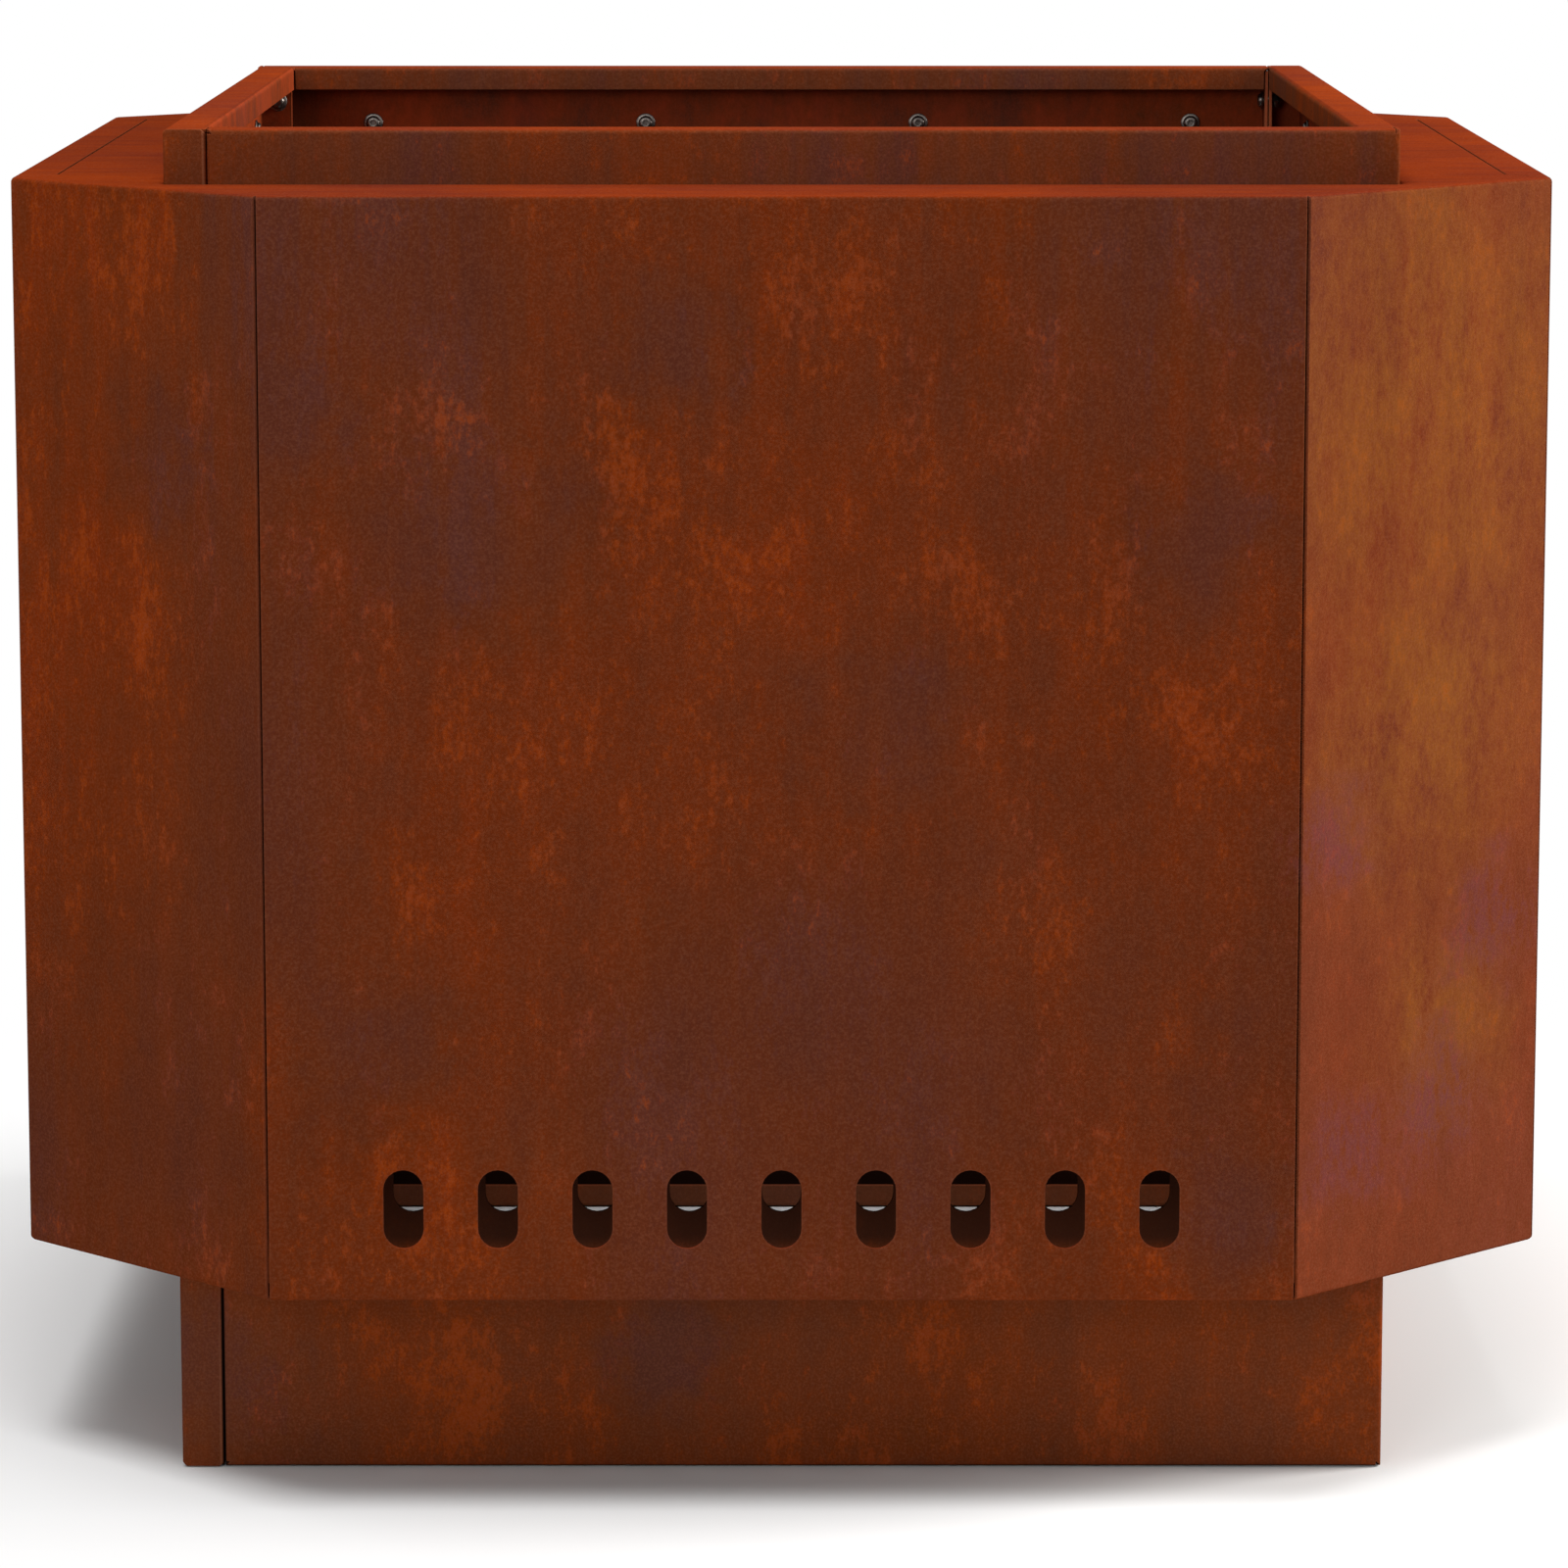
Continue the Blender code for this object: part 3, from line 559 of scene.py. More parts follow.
def level_line(columns, distance, height):
    """Points at each column's x, on the upright face at y = -distance, at one height."""
    return np.stack([columns, np.full(len(columns), -distance), np.full(len(columns), height)], 1)


def upright_line(x, distance, rows):
    """Points at each row's height, on the upright face at y = -distance, at one x."""
    return np.stack([np.full(len(rows), x), np.full(len(rows), -distance), rows], 1)


def fold(edge, normal, flanges, bend=BEND):
    """A patch that runs on from an edge over a chain of (angle, width, cut, mitre) flanges.

    Over a bend a row is edge + bend * (normal * (cos a - 1) + outward * sin a), and over a flat it
    goes on along outward. Cut draws a row's two ends in over the bend, and mitre along the flat.
    """
    length = np.linalg.norm(edge[-1] - edge[0])
    along = (edge[-1] - edge[0]) / length
    share = ((edge - edge[0]) @ along / length)[:, None]
    outward = np.cross(along, normal)
    rows = [edge]
    setbacks = [bend * math.tan(flange[0] / 2) for flange in flanges] + [0.0]
    for (angle, width, cut, mitre), setback, following in zip(flanges, setbacks, setbacks[1:]):
        base = rows[-1]
        if angle:
            part = np.linspace(0, 1, BEND_ROWS + 1)[1:, None, None]
            arc = normal * (np.cos(angle * part) - 1) + outward * np.sin(angle * part)
            drawn = along * (cut[0] * (1 - share) - cut[1] * share)
            rows.extend(base + arc * bend + drawn * part)
        cosine, sine = math.cos(angle), math.sin(angle)
        normal, outward = normal * cosine + outward * sine, outward * cosine - normal * sine
        drawn = along * (mitre[0] * (1 - share) - mitre[1] * share)
        rows.append(rows[-1] + outward * (width - setback - following) + drawn)
    return np.array(rows).reshape(-1, 3), quads(len(rows), len(edge), flip=True)


print("faces of a 3 by 3 grid", len(quads(3, 3)))

# %% [markdown]
# ## A row of slots
#
# A slot with round ends could be cut with a Boolean, but that leaves long thin triangles that
# spoil the shading. Here each slot sits in a cell of the grid, and the cell is a ruled surface:
# straight lines run from the slot's outline to the cell's four sides.

# %% Slots
SLOT_COUNT = 9
SLOT_WIDTH, SLOT_HEIGHT = 0.0204, 0.0409
SLOT_MIDDLE = 0.158
SLOT_END_DISTANCE = 0.070
SLOT_ROW_HALF = PANEL_HALF - SLOT_END_DISTANCE
SLOT_PITCH = 2 * SLOT_ROW_HALF / (SLOT_COUNT - 1)
SLOT_X = np.linspace(-SLOT_ROW_HALF, SLOT_ROW_HALF, SLOT_COUNT)
CELL_RISE = 0.034
# Faces up a cell's side and along its top, and where its rings lie between slot and cell
CELL_SIDE, CELL_TOP = 8, 6
CELL_RINGS = (0.0, 0.35, 1.0)
CELL_ENDS = (SLOT_X[0] - SLOT_PITCH / 2, SLOT_X[-1] + SLOT_PITCH / 2)
CELL_COLUMNS = np.linspace(*CELL_ENDS, CELL_TOP * SLOT_COUNT + 1)
CELL_ROWS = np.linspace(SLOT_MIDDLE - CELL_RISE, SLOT_MIDDLE + CELL_RISE, CELL_SIDE + 1)
# Less than any size here, for comparing places
HAIR = 1e-6


def slot_cells(distance):
    """Ruled surfaces round the slots: slot outline + share * (cell outline - slot outline).

    The slot's outline is an arc of 45 degrees, a straight and an arc of 45 degrees up its right
    side, and 90 degrees over the top, and the same again turned half round.
    """
    radius, rise = SLOT_WIDTH / 2, (SLOT_HEIGHT - SLOT_WIDTH) / 2
    low = np.radians([-45, -30, -15, 0])
    high = np.radians([0, 15, 30, 45, 60, 75, 90, 105, 120])
    arcs = ((low, -rise), (high, rise))
    foot, head = [np.stack([radius * np.cos(a), radius * np.sin(a) + shift], 1) for a, shift in arcs]
    half = np.concatenate([foot, [(radius, 0.0)], head])
    inner = np.concatenate([half, -half, half[:1]])
    side = np.stack([np.ones(CELL_SIDE), np.linspace(-1, 1, CELL_SIDE + 1)[:-1]], 1)
    top = np.stack([np.linspace(1, -1, CELL_TOP + 1)[:-1], np.ones(CELL_TOP)], 1)
    cell = np.concatenate([side, top]) * (SLOT_PITCH / 2, CELL_RISE)
    outer = np.concatenate([cell, -cell, cell[:1]])
    share = np.array(CELL_RINGS)[:, None, None]
    flat = inner + share * (outer - inner)
    points = np.empty((SLOT_COUNT, *flat.shape[:2], 3))
    points[..., 0] = SLOT_X[:, None, None] + flat[..., 0]
    points[..., 1] = -distance
    points[..., 2] = SLOT_MIDDLE + flat[..., 1]
    one = quads(*flat.shape[:2], flip=True)
    step = np.arange(SLOT_COUNT)[:, None, None] * flat.shape[0] * flat.shape[1]
    return points.reshape(-1, 3), (one + step).reshape(-1, 4)


def slotted_face(columns, low, high, distance):
    """A flat upright grid with its row of slots left out, and the cells that fill that row."""
    rows = np.concatenate([[low], CELL_ROWS, [high]])
    x, z = np.meshgrid(columns, rows)
    points = np.stack([x, np.full_like(x, -distance), z], axis=-1)
    inside_x = (columns[:-1] > CELL_COLUMNS[0] - HAIR) & (columns[1:] < CELL_COLUMNS[-1] + HAIR)
    inside_z = (rows[:-1] > CELL_ROWS[0] - HAIR) & (rows[1:] < CELL_ROWS[-1] + HAIR)
    keep = ~(inside_z[:, None] & inside_x[None, :]).ravel()
    return [(points.reshape(-1, 3), quads(len(rows), len(columns))[keep]), slot_cells(distance)]


print("slots", SLOT_COUNT, "pitch", round(SLOT_PITCH, 5))

# %% [markdown]
# ## Thickness and cut edges
#
# Solidify could give the sheet its wall, but its edges would be razor sharp, and a real laser cut
# is a little round and rusts first. So the wall is made here: the sheet, its copy one thickness
# inwards, and a small rounded profile carried along every free edge. The profile is marked in an
# attribute, and the rust recipe makes it a little lighter: partly rust, partly a painted highlight.

# %% From an open sheet to a solid
CUT_ROUNDING = 0.0004
CUT_FRINGE = 0.0008
# How much lighter a cut edge is: partly rust, partly a painted highlight
CUT_WEAR_AND_HIGHLIGHT = 0.15
# Keeps the profile near its edge at a very sharp corner
LEAST_SPREAD = 0.3
WELD_STEPS = 1e6
# Keeps round sizes away from the border between two steps
WELD_OFFSET = 0.371


def weld(patches):
    """One mesh from patches: points that agree to a micrometre become one, and unused ones go."""
    points = np.concatenate([patch[0] for patch in patches])
    starts = np.cumsum([0] + [len(patch[0]) for patch in patches[:-1]])
    faces = np.concatenate([patch[1] + start for patch, start in zip(patches, starts)])
    steps = np.floor(points * WELD_STEPS + WELD_OFFSET)
    _, first, same = np.unique(steps, axis=0, return_index=True, return_inverse=True)
    used, numbers = np.unique(same.reshape(-1)[faces], return_inverse=True)
    return points[first][used], numbers.reshape(faces.shape)


def unit(vectors):
    return vectors / np.linalg.norm(vectors, axis=-1, keepdims=True)


def face_normals(points, faces):
    """The direction that each face looks in: the cross product of its two diagonals."""
    corners = points[faces]
    return unit(np.cross(corners[:, 2] - corners[:, 0], corners[:, 3] - corners[:, 1]))


def thicken(points, faces, sheet=SHEET):
    """A closed solid: the sheet, its inner side and a rounded profile round each free edge.

    A ring of the profile is point + outwards * b + normal * n, where (b, n) goes from the fringe
    over a quarter circle, down the cut and over the other quarter circle.
    """
    facing = face_normals(points, faces)
    normals = np.zeros_like(points)
    np.add.at(normals, faces, facing[:, None, :])
    normals = unit(normals)
    starts, ends = faces.ravel(), np.roll(faces, -1, axis=1).ravel()
    size = len(points)
    free = ~np.isin(starts * size + ends, ends * size + starts)
    starts, ends = starts[free], ends[free]
    beside = np.repeat(facing, 4, axis=0)[free]
    rim = np.unique(starts)
    place = np.full(size, -1)
    place[rim] = np.arange(len(rim))
    a, b = place[starts], place[ends]
    sideways = unit(np.cross(points[ends] - points[starts], beside))
    leaving, arriving = np.zeros((len(rim), 3)), np.zeros((len(rim), 3))
    leaving[a], arriving[b] = sideways, sideways
    spread = 1 + np.sum(leaving * arriving, axis=1, keepdims=True)
    outwards = (leaving + arriving) / np.maximum(spread, LEAST_SPREAD)

    turn = np.radians([0, 30, 60, 90])
    across, down = CUT_ROUNDING * np.sin(turn), CUT_ROUNDING * np.cos(turn)
    top = np.stack([across - CUT_ROUNDING, down - CUT_ROUNDING], 1)
    profile = np.concatenate([top, top[::-1] * (1, -1) - (0, sheet)])
    rings = points[rim] + profile[:, :1, None] * outwards + profile[:, 1:, None] * normals[rim]
    shifted = points.copy()
    shifted[rim] -= outwards * CUT_FRINGE
    solid = np.concatenate([shifted, shifted - normals * sheet, rings.reshape(-1, 3)])
    ring = 2 * size + np.arange(len(profile))[:, None] * len(rim) + np.arange(len(rim))
    chain = np.concatenate([rim[None], ring, rim[None] + size])
    band = np.stack([chain[:-1, b], chain[:-1, a], chain[1:, a], chain[1:, b]], axis=-1)
    edge = np.zeros(len(solid))
    edge[2 * size:] = CUT_WEAR_AND_HIGHLIGHT
    return solid, np.concatenate([faces, faces[:, ::-1] + size, band.reshape(-1, 4)]), edge


print("rounding of a cut edge", CUT_ROUNDING)


# %% From points to a piece
def turned(points, quarter):
    """Points turned by quarter turns about the upright axis."""
    cosine, sine = round(math.cos(quarter * SQUARE)), round(math.sin(quarter * SQUARE))
    return points @ np.array([[cosine, sine, 0], [-sine, cosine, 0], [0, 0, 1]], float)


def add_piece(name, points, faces, material, body, *nodes, edge=None, crease=None):
    """Puts points and four-sided faces into a mesh that rides on a body and replaces nodes.

    A corner that repeats the one before it is left out, so a face at a pole becomes a triangle.
    """
    mesh = bpy.data.meshes.new(name)
    kept = faces != np.roll(faces, 1, axis=1)
    sides = kept.sum(axis=1)
    mesh.vertices.add(len(points))
    mesh.vertices.foreach_set("co", np.ascontiguousarray(points, dtype=np.float32).ravel())
    mesh.loops.add(int(sides.sum()))
    mesh.loops.foreach_set("vertex_index", faces[kept].astype(np.int32))
    mesh.polygons.add(len(faces))
    mesh.polygons.foreach_set("loop_start", (np.cumsum(sides) - sides).astype(np.int32))
    mesh.update(calc_edges=True)
    mesh.validate()
    mesh.polygons.foreach_set("use_smooth", np.ones(len(mesh.polygons), dtype=bool))
    if crease:
        mesh.set_sharp_from_angle(angle=crease)
    if edge is not None:
        # The cut edges' rust and painted highlight, as an attribute for the rust recipe
        shades = mesh.attributes.new("cut_edge", "FLOAT", "POINT")
        shades.data.foreach_set("value", edge.astype(np.float32))
    mesh.materials.append(material)
    piece = bpy.data.objects.new(name, mesh)
    bpy.context.scene.collection.objects.link(piece)
    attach(piece, body)
    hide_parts(*nodes)


print("a quarter turn of x", turned(np.eye(3), 1)[0])

# %% [markdown]
# ## Firebox
#
# Four equal walls stand like the arms of a pinwheel. Each wraps its right-hand corner and turns
# back inside, where it is bolted to the next wall. A flange and a lip stiffen the rim and the foot.
# The fold beside each seam gets a painted highlight, which shows at the rim and at the foot. The
# edges inside, between the lips, lie in shade and are not made lighter.

# %% Firebox walls
# The part of a fold that gets a painted highlight, in degrees of its turn
HIGHLIGHT_FROM, HIGHLIGHT_TO = 10, 50
# The depth behind which edges lie inside, and the heights between the lips
INSIDE_FROM = -0.2985
LIPS_END = (0.016, 0.688)


def firebox_wall():
    """The front wall: a slotted face with flanges folded off each of its four sides."""
    left, right = WALL_START + BEND, FIREBOX_HALF - BEND
    lip_end = FIREBOX_HALF - FLANGE - WALL_SEAM
    low, high = BEND, FIREBOX_HEIGHT - BEND
    columns = np.concatenate([[left], CELL_COLUMNS, [lip_end, right]])
    rows = np.concatenate([[low], CELL_ROWS, [high]])
    foot = level_line(columns[:-1], FIREBOX_HALF, low)
    top = level_line(columns[:-1], FIREBOX_HALF, high)
    foot_corner = level_line(columns[-2:], FIREBOX_HALF, low)
    top_corner = level_line(columns[-2:], FIREBOX_HALF, high)
    start = upright_line(left, FIREBOX_HALF, rows)
    end = upright_line(right, FIREBOX_HALF, rows)
    clear = (SHEET + NUT_CLEARANCE, SHEET + NUT_CLEARANCE)
    square = [(SQUARE, FLANGE - BEND, PLAIN, PLAIN), (0.0, BEND, PLAIN, PLAIN)]
    wrap = [(SQUARE, FLANGE, (-BEND, -BEND), PLAIN), (SQUARE, FLANGE - END_EASE, clear, PLAIN)]
    upper = [(SQUARE, FLANGE, (0, -BEND), PLAIN), (SQUARE, LIP, (0, BEND), PLAIN)]
    lower = [(SQUARE, FLANGE, (-BEND, 0), PLAIN), (SQUARE, LIP, (BEND, 0), PLAIN)]
    patches = slotted_face(columns, low, high, FIREBOX_HALF)
    patches.append(fold(top_corner[::-1], FORWARDS, square))
    patches.append(fold(top[::-1], FORWARDS, upper))
    patches.append(fold(foot_corner, FORWARDS, square))
    patches.append(fold(foot, FORWARDS, lower))
    patches.append(fold(end, FORWARDS, wrap))
    patches.append(fold(start[::-1], FORWARDS, [(SQUARE, FLANGE - END_EASE, PLAIN, PLAIN)]))
    points, faces, edge = thicken(*weld(patches))
    x, y, z = points.T
    drop = BEND * (1 - np.sin(np.radians([HIGHLIGHT_FROM, HIGHLIGHT_TO])))
    highlight_start, highlight_end = FLANGE - FIREBOX_HALF - drop
    # A painted highlight on the fold beside the seam
    edge[(x > right) & (y > highlight_start) & (y < highlight_end)] = 1.0
    # Inside, between the lips, shade falls, so the cut edges are not made lighter
    edge[(y > INSIDE_FROM) & (z > LIPS_END[0]) & (z < LIPS_END[1])] = 0.0
    return points, faces, edge


points, faces, edge = firebox_wall()
for quarter, side in enumerate(SIDES):
    node = f"firebox_wall_{side}"
    add_piece(f"wall_{side}", turned(points, quarter), faces, firebox_rust, "basket", node, edge=edge)
print("its box here", points.min(0), points.max(0))

# %% [markdown]
# ## Outer shell
#
# One large blank makes the top plate, the front, the back and the four chamfers. Two slotted side
# panels close it. A collar folded down round the opening carries it on the firebox. The plate is a
# ring of strips between its outline and its mouth. Both are listed for one half, and the other half
# is the same with x and y reversed.

# %% Shell
FACE_HALF = PANEL_HALF - PANEL_INSET
FACE_COLUMNS = np.concatenate([[-FACE_HALF], CELL_COLUMNS, [FACE_HALF]])
FACE_SHARES = (FACE_COLUMNS + FACE_HALF) / (2 * FACE_HALF)
FEW = np.linspace(0, 1, 5)
ENDS = np.array([0.0, 1.0])
MOUTH_CORNER = 0.9
CHAMFERS = (1, 5)


def shell_outline():
    """Half of the plate's outer edge, from the front's left end, as (start, end, shares) lines."""
    fold_line = BODY_HALF - BEND
    front = PANEL_HALF - BEND * SHELL_MITRE
    slant = math.sqrt(0.5)
    corner_x = BODY_HALF - (BEND + PANEL_INSET) * slant
    corner_y = PANEL_HALF - (BEND - PANEL_INSET) * slant
    side = BODY_HALF - FLANGE - SEAM / 2
    notch = PANEL_HALF + SEAM * slant - (BODY_HALF - side)
    return [
        ((-front, -fold_line), (front, -fold_line), FACE_SHARES),
        ((front, -fold_line), (corner_x, -corner_y), FEW),
        ((corner_x, -corner_y), (side, -notch), ENDS),
        ((side, -notch), (side, notch), FEW),
        ((side, notch), (corner_x, corner_y), ENDS),
        ((corner_x, corner_y), (front, fold_line), FEW),
    ]


def shell_mouth():
    """Half of the plate's opening, as lines that face those of its outline."""
    opening = FIREBOX_HALF + TOUCH + BEND
    flap = FIREBOX_HALF - SHEET
    inset = MOUTH_CORNER * flap
    return [
        ((-flap, -opening), (flap, -opening), FACE_SHARES),
        ((flap, -opening), (opening, -flap), FEW),
        ((opening, -flap), (opening, -inset), ENDS),
        ((opening, -inset), (opening, inset), FEW),
        ((opening, inset), (opening, flap), ENDS),
        ((opening, flap), (flap, opening), FEW),
    ]


def plate_line(line, sign=1):
    """The points of a line of the plate, on its own half or, with -1, on the other half."""
    start, end, shares = line
    return between((*start, 0), (*end, 0), shares) * (sign, sign, 1) + UP * BODY_TOP


def shell_panels():
    """The shell's patches: plate, front and back, chamfers and foot flanges."""
    ease = PANEL_INSET - BEND * SHELL_MITRE
    drawn = (BODY_FLANGE * SHELL_MITRE, BODY_FLANGE * SHELL_MITRE)
    height = BODY_TOP - BODY_LOW
    foot = (SQUARE, BODY_FLANGE, (FOLD_EASE, FOLD_EASE), drawn)
    patches = []
    for sign, quarter in ((1, 0), (-1, 2)):
        for number, (outer, inner) in enumerate(zip(shell_outline(), shell_mouth())):
            rim = plate_line(outer, sign)
            patches.append((np.concatenate([rim, plate_line(inner, sign)]), quads(2, len(rim))))
            if number == 0:
                patches.append(fold(rim, UP, [(SQUARE, 2 * BEND, (ease, ease), PLAIN)]))
            elif number in CHAMFERS:
                cut = (ease, 0) if number == CHAMFERS[0] else (0, ease)
                patches.append(fold(rim, UP, [(SQUARE, height, cut, PLAIN), foot]))
        front = slotted_face(FACE_COLUMNS, BODY_LOW + BEND, BODY_TOP - 2 * BEND, BODY_HALF)
        front.append(fold(level_line(FACE_COLUMNS, BODY_HALF, BODY_LOW + BEND), FORWARDS, [foot]))
        patches.extend((turned(points, quarter), faces) for points, faces in front)
    return patches


def shell_flaps():
    """The collar that is folded down round the opening, one flap to each side."""
    lines = [plate_line(line) for line in shell_mouth()]
    along_front = lines[0]
    along_side = np.concatenate([lines[2][:-1], lines[3], lines[4][1:]])
    patches = []
    for edge in (along_front, along_side, turned(along_front, 2), turned(along_side, 2)):
        patches.append(fold(edge[::-1], UP, [(SQUARE, FLANGE, PLAIN, PLAIN)]))
    return patches


points, faces, edge = thicken(*weld(shell_panels() + shell_flaps()))
add_piece("shell", points, faces, shell_rust, "basket", "outer_shell", edge=edge)
print("its box here", points.min(0), points.max(0))


# %% Side panels
def side_panel():
    """A side panel as if it were the front, with a mitred flange at its top and its foot."""
    low, high = BODY_LOW + BEND, BODY_TOP - BEND
    over_bend = BEND - PANEL_INSET + SEAM / 2 * math.sqrt(2)
    along_flat = FLANGE - BEND - SEAM / 2
    drawn = BODY_FLANGE * SHELL_MITRE
    top = (SQUARE, FLANGE - SEAM / 2, (over_bend, over_bend), (along_flat, along_flat))
    foot = (SQUARE, BODY_FLANGE, (FOLD_EASE, FOLD_EASE), (drawn, drawn))
    patches = slotted_face(FACE_COLUMNS, low, high, BODY_HALF)
    patches.append(fold(level_line(FACE_COLUMNS, BODY_HALF, high)[::-1], FORWARDS, [top]))
    patches.append(fold(level_line(FACE_COLUMNS, BODY_HALF, low), FORWARDS, [foot]))
    return thicken(*weld(patches))


points, faces, edge = side_panel()
for quarter, side in ((1, "right"), (3, "left")):
    node = f"side_panel_{side}"
    add_piece(f"panel_{side}", turned(points, quarter), faces, shell_rust, "basket", node, edge=edge)

# %% [markdown]
# ## Ledges and grate
#
# Four folded angles sit above the slots, and the grate lies on them in two loose halves. Its rods
# have worn round ends, and each is welded to the flat bars below it with a bead on either side.

# %% Ledges
LEDGE_SHEET = 0.003
LEDGE_BEND = 0.0042

low, high = (np.array(corner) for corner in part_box("grate_ledge_front"))
back_line = np.array([[low[0], high[1], high[2]], [high[0], high[1], high[2]]])
bend_line = np.array([[low[0], low[1] + LEDGE_BEND, high[2]], [high[0], low[1] + LEDGE_BEND, high[2]]])
flat = (np.concatenate([bend_line, back_line]), quads(2, 2))
leg = fold(bend_line, UP, [(SQUARE, high[2] - low[2], PLAIN, PLAIN)], LEDGE_BEND)
points, faces, edge = thicken(*weld([flat, leg]), LEDGE_SHEET)
for quarter, side in enumerate(SIDES):
    node = f"grate_ledge_{side}"
    add_piece(f"ledge_{side}", turned(points, quarter), faces, firebox_rust, "basket", node, edge=edge)
print("ledges", len(SIDES), "box", points.min(0), points.max(0))


# %% Round and flat bars
# Degrees up and round a ball. Those beside nought or a quarter turn show which eighth they are in
BOX_ROWS = (-90, -90, -60, -30, -0.001, 0.001, 30, 60, 90, 90)
BOX_QUARTER = (0.001, 30, 60, 89.999)


def revolved(rows, turns, hexagon=None):
    """A surface of revolution about z: radius(angle) = min(row radius, flats / cos(angle - middle)).

    A row is (height, radius). With a hexagon, a row's flats limit the radius, which cuts its sides.
    """
    angle = np.linspace(0, 2 * math.pi, turns + 1)
    angle[-1] = 0.0
    height, radius = np.array(rows, float).T
    flats = np.full(len(rows), np.inf) if hexagon is None else np.array(hexagon, float)
    sixth = math.radians(60)
    side = flats[:, None] / np.cos(angle % sixth - sixth / 2)
    reach = np.minimum(radius[:, None], side)
    up = np.broadcast_to(height[:, None], reach.shape)
    points = np.stack([reach * np.cos(angle), reach * np.sin(angle), up], axis=-1)
    return points.reshape(-1, 3), quads(len(rows), turns + 1, flip=True)


def aimed(points, origin, across, axis):
    """Points in a frame of their own, set at an origin: x goes along across and z along axis."""
    axis, across = np.array(axis, float), np.array(across, float)
    return np.array(origin) + points @ np.stack([across, np.cross(axis, across), axis])


def rounded_box(low, high, radius):
    """A box with round edges: a ball whose eight eighths are moved apart to the box's corners.

    The first and the last row aren't moved apart sideways, so they close the box's two ends.
    """
    share = np.radians(BOX_ROWS)
    turn = np.radians(BOX_QUARTER)
    turn = np.concatenate([turn + k * SQUARE for k in range(4)] + [turn[:1]])
    rise, around = np.meshgrid(share[::-1], turn, indexing="ij")
    ball = np.stack([np.cos(rise) * np.cos(around), np.cos(rise) * np.sin(around), np.sin(rise)], axis=-1)
    low, high = np.array(low), np.array(high)
    around_axis = np.stack([np.cos(around), np.sin(around), np.sin(rise)], axis=-1)
    apart = np.sign(np.round(around_axis, 9)) * ((high - low) / 2 - radius)
    apart[[0, -1], :, :2] = 0
    points = (low + high) / 2 + apart + ball * radius
    return points.reshape(-1, 3), quads(len(share), len(turn), flip=True)


print("a box's faces", len(rounded_box((0, 0, 0), (1, 1, 1), 0.1)[1]))

# %% Grate
ROD_COUNT = 9
ROD_RADIUS = 0.005
ROD_INSET = 0.001
ROD_TURNS = 20
# Heights and radii of a rod's worn end, as shares of the rod's radius
ROD_END = [(1.0, 0.0), (1.0, 0.62), (0.93, 0.85), (0.75, 0.97), (0.5, 1.0)]
BAR_WIDTH, BAR_THICKNESS, BAR_END_DISTANCE = 0.025, 0.005, 0.110
BAR_ROUNDING = 0.0008
# Half of a weld bead's size along x, y and z
BEAD_SIZE = (0.0024, 0.0100, 0.0022)
BEAD_OFFSET, BEAD_RISE = 0.0032, 0.0008
BEAD_TURNS = 10
GRATE_CREASE = math.radians(50)


def grate_half(low, high):
    """One half: rods along y over three flat bars, and a weld bead on each side of a crossing."""
    centre_z = high[2] - ROD_RADIUS
    bar_top = low[2] + BAR_THICKNESS
    rod_x = np.linspace(low[0] + ROD_RADIUS + ROD_INSET, high[0] - ROD_RADIUS - ROD_INSET, ROD_COUNT)
    half = high[1]
    end = [(half - ROD_RADIUS * (1 - height), ROD_RADIUS * radius) for height, radius in ROD_END]
    rod_points, rod_faces = revolved(end + [(-y, radius) for y, radius in end[::-1]], ROD_TURNS)
    rods = [(aimed(rod_points, (x, 0, centre_z), (1, 0, 0), (0, 1, 0)), rod_faces) for x in rod_x]
    angle = np.radians(np.linspace(90, -90, 7))
    ball, bead_faces = revolved(np.stack([np.sin(angle), np.abs(np.cos(angle))], 1), BEAD_TURNS)
    bars, beads = [], []
    for y in (BAR_END_DISTANCE - half, 0.0, half - BAR_END_DISTANCE):
        corners = (low[0], y - BAR_WIDTH / 2, low[2]), (high[0], y + BAR_WIDTH / 2, bar_top)
        bars.append(rounded_box(*corners, BAR_ROUNDING))
        for x in rod_x:
            for side in (-BEAD_OFFSET, BEAD_OFFSET):
                beads.append((ball * BEAD_SIZE + (x + side, y, bar_top + BEAD_RISE), bead_faces))
    return rods + bars + beads


for half_name in ("left", "right"):
    node = f"grate_{half_name}"
    parts = [weld([patch]) for patch in grate_half(*(np.array(corner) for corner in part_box(node)))]
    starts = np.cumsum([0] + [len(part[0]) for part in parts[:-1]])
    points = np.concatenate([part[0] for part in parts])
    faces = np.concatenate([part[1] + start for part, start in zip(parts, starts)])
    add_piece(f"{node}_steel", points, faces, grate_steel, f"{half_name}_grate", node, crease=GRATE_CREASE)
    print(node, len(faces), "faces, box", points.min(0), points.max(0))

# %% [markdown]
# ## Screws
#
# Every screw is an M5 button head with a flange and a hexagon socket, and a nut on its far end. Its
# head always faces the middle of the firebox, so a node's box tells all: the long side is the axis,
# and the end nearer to the middle is the head.

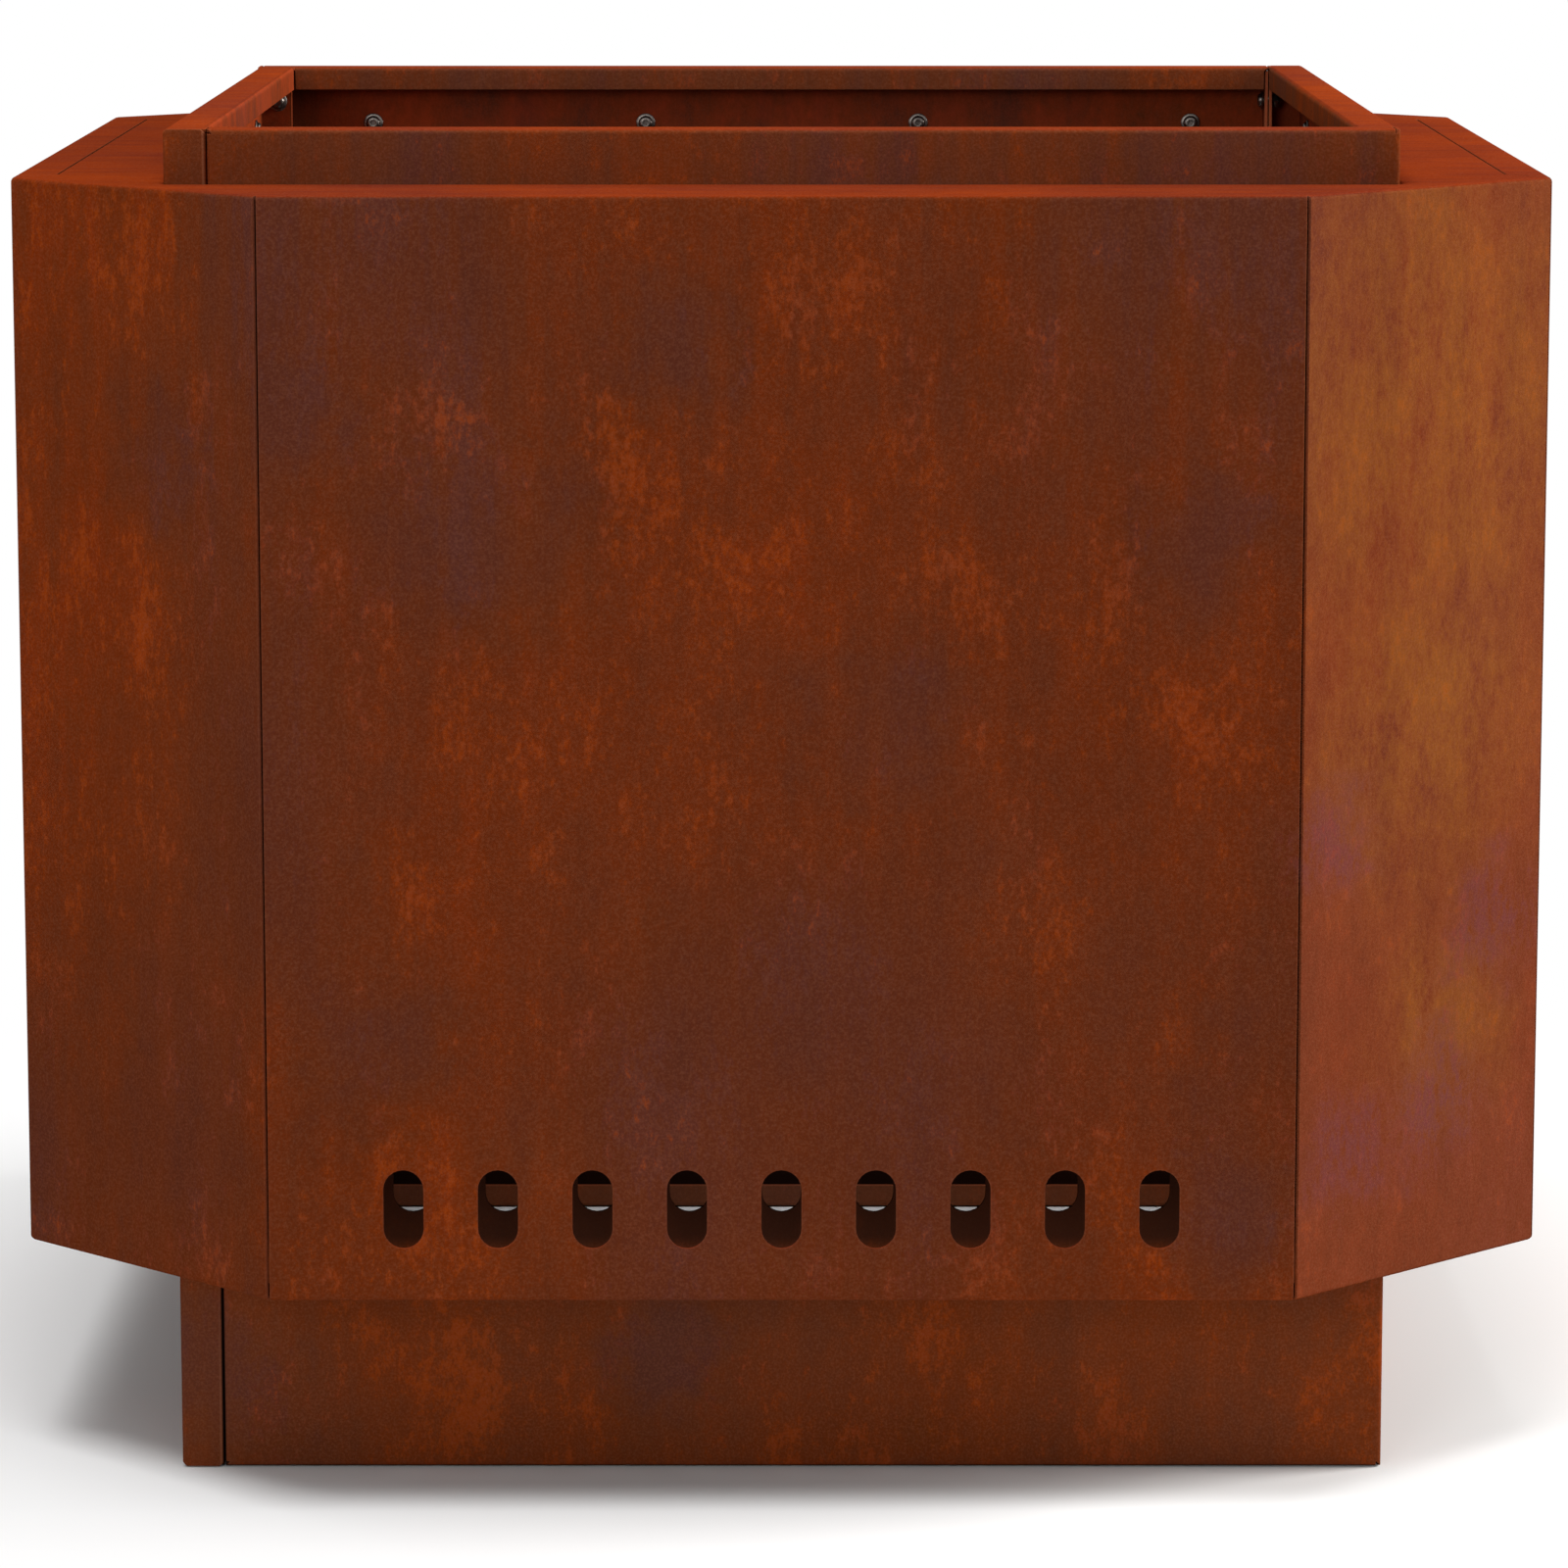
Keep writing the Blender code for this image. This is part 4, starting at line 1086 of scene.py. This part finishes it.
# %% Screws
FLANGE_RADIUS, FLANGE_EDGE, FLANGE_ROUNDING = 0.0058, 0.0009, 0.0002
HEAD_RADIUS, HEAD_HEIGHT, HEAD_SHOULDER = 0.0042, 0.0030, 0.0004
SOCKET_FLATS, SOCKET_DEPTH, SOCKET_RIM = 0.0015, 0.0016, 0.0021
SOCKET_CHAMFER = 0.0001
SHANK, THREAD_CORE, THREAD_TIP = 0.0025, 0.88, 0.8
GROOVE_START, GROOVE_END = 0.0004, 0.0006
NUT_FLATS, NUT_HEIGHT, THREAD_END = 0.004, 0.004, 0.001
NUT_CHAMFER, NUT_FACE = 0.0005, 0.92
SCREW_TURNS = 24
SCREW_CREASE = math.radians(40)
# A radius or a flats value that limits nothing
FREE = 1.0


def screw(length):
    """Head, shank and nut as one revolved profile from the socket's floor to the thread's end."""
    top, floor = HEAD_HEIGHT, HEAD_HEIGHT - SOCKET_DEPTH
    end = top - length
    nut_low, nut_high = end + THREAD_END, end + THREAD_END + NUT_HEIGHT
    shoulder = FLANGE_EDGE + HEAD_SHOULDER
    rows = [
        (floor, 0.0, FREE),
        (floor, FREE, SOCKET_FLATS),
        (top - SOCKET_CHAMFER, FREE, SOCKET_FLATS),
        (top, SOCKET_RIM, FREE),
    ]
    for angle in np.radians([0, 25, 50, 75, 90]):
        height = shoulder + (top - shoulder) * math.cos(angle)
        rows.append((height, SOCKET_RIM + (HEAD_RADIUS - SOCKET_RIM) * math.sin(angle), FREE))
    rows += [
        (FLANGE_EDGE, HEAD_RADIUS + FLANGE_ROUNDING, FREE),
        (FLANGE_EDGE - FLANGE_ROUNDING / 2, FLANGE_RADIUS - FLANGE_ROUNDING * 2, FREE),
        (FLANGE_EDGE / 2, FLANGE_RADIUS, FREE),
        (0.0, FLANGE_RADIUS - FLANGE_ROUNDING, FREE),
        (0.0, SHANK, FREE),
        (nut_high, SHANK, FREE),
        (nut_high, NUT_FACE * NUT_FLATS, FREE),
        (nut_high - NUT_CHAMFER, FREE, NUT_FLATS),
        (nut_low + NUT_CHAMFER, FREE, NUT_FLATS),
        (nut_low, NUT_FACE * NUT_FLATS, FREE),
        (nut_low, SHANK, FREE),
        (end + GROOVE_END, THREAD_CORE * SHANK, FREE),
        (end + GROOVE_START, SHANK, FREE),
        (end, THREAD_TIP * SHANK, FREE),
        (end, 0.0, FREE),
    ]
    table = np.array(rows)
    return weld([revolved(table[:, :2], SCREW_TURNS, table[:, 2])])


def add_screw(node):
    """Sets a screw where the CAD has it, and returns its number of faces."""
    low, high = (np.array(corner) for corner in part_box(node))
    axis_number = int(np.argmax(high - low))
    middle = (low + high) / 2
    length = (high - low)[axis_number]
    inwards = -np.sign(middle[axis_number])
    axis = inwards * np.eye(3)[axis_number]
    origin = middle.copy()
    origin[axis_number] += inwards * (length / 2 - HEAD_HEIGHT)
    points, faces = screw(length)
    placed = aimed(points, origin, np.cross(axis, UP), axis)
    add_piece(f"{node}_steel", placed, faces, bright_steel, "basket", node, crease=SCREW_CREASE)
    return len(faces)


screw_nodes = [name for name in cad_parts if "_screw_" in name]
screw_faces = [add_screw(name) for name in screw_nodes]
print("screws", len(screw_nodes), "with", screw_faces[0], "faces each")
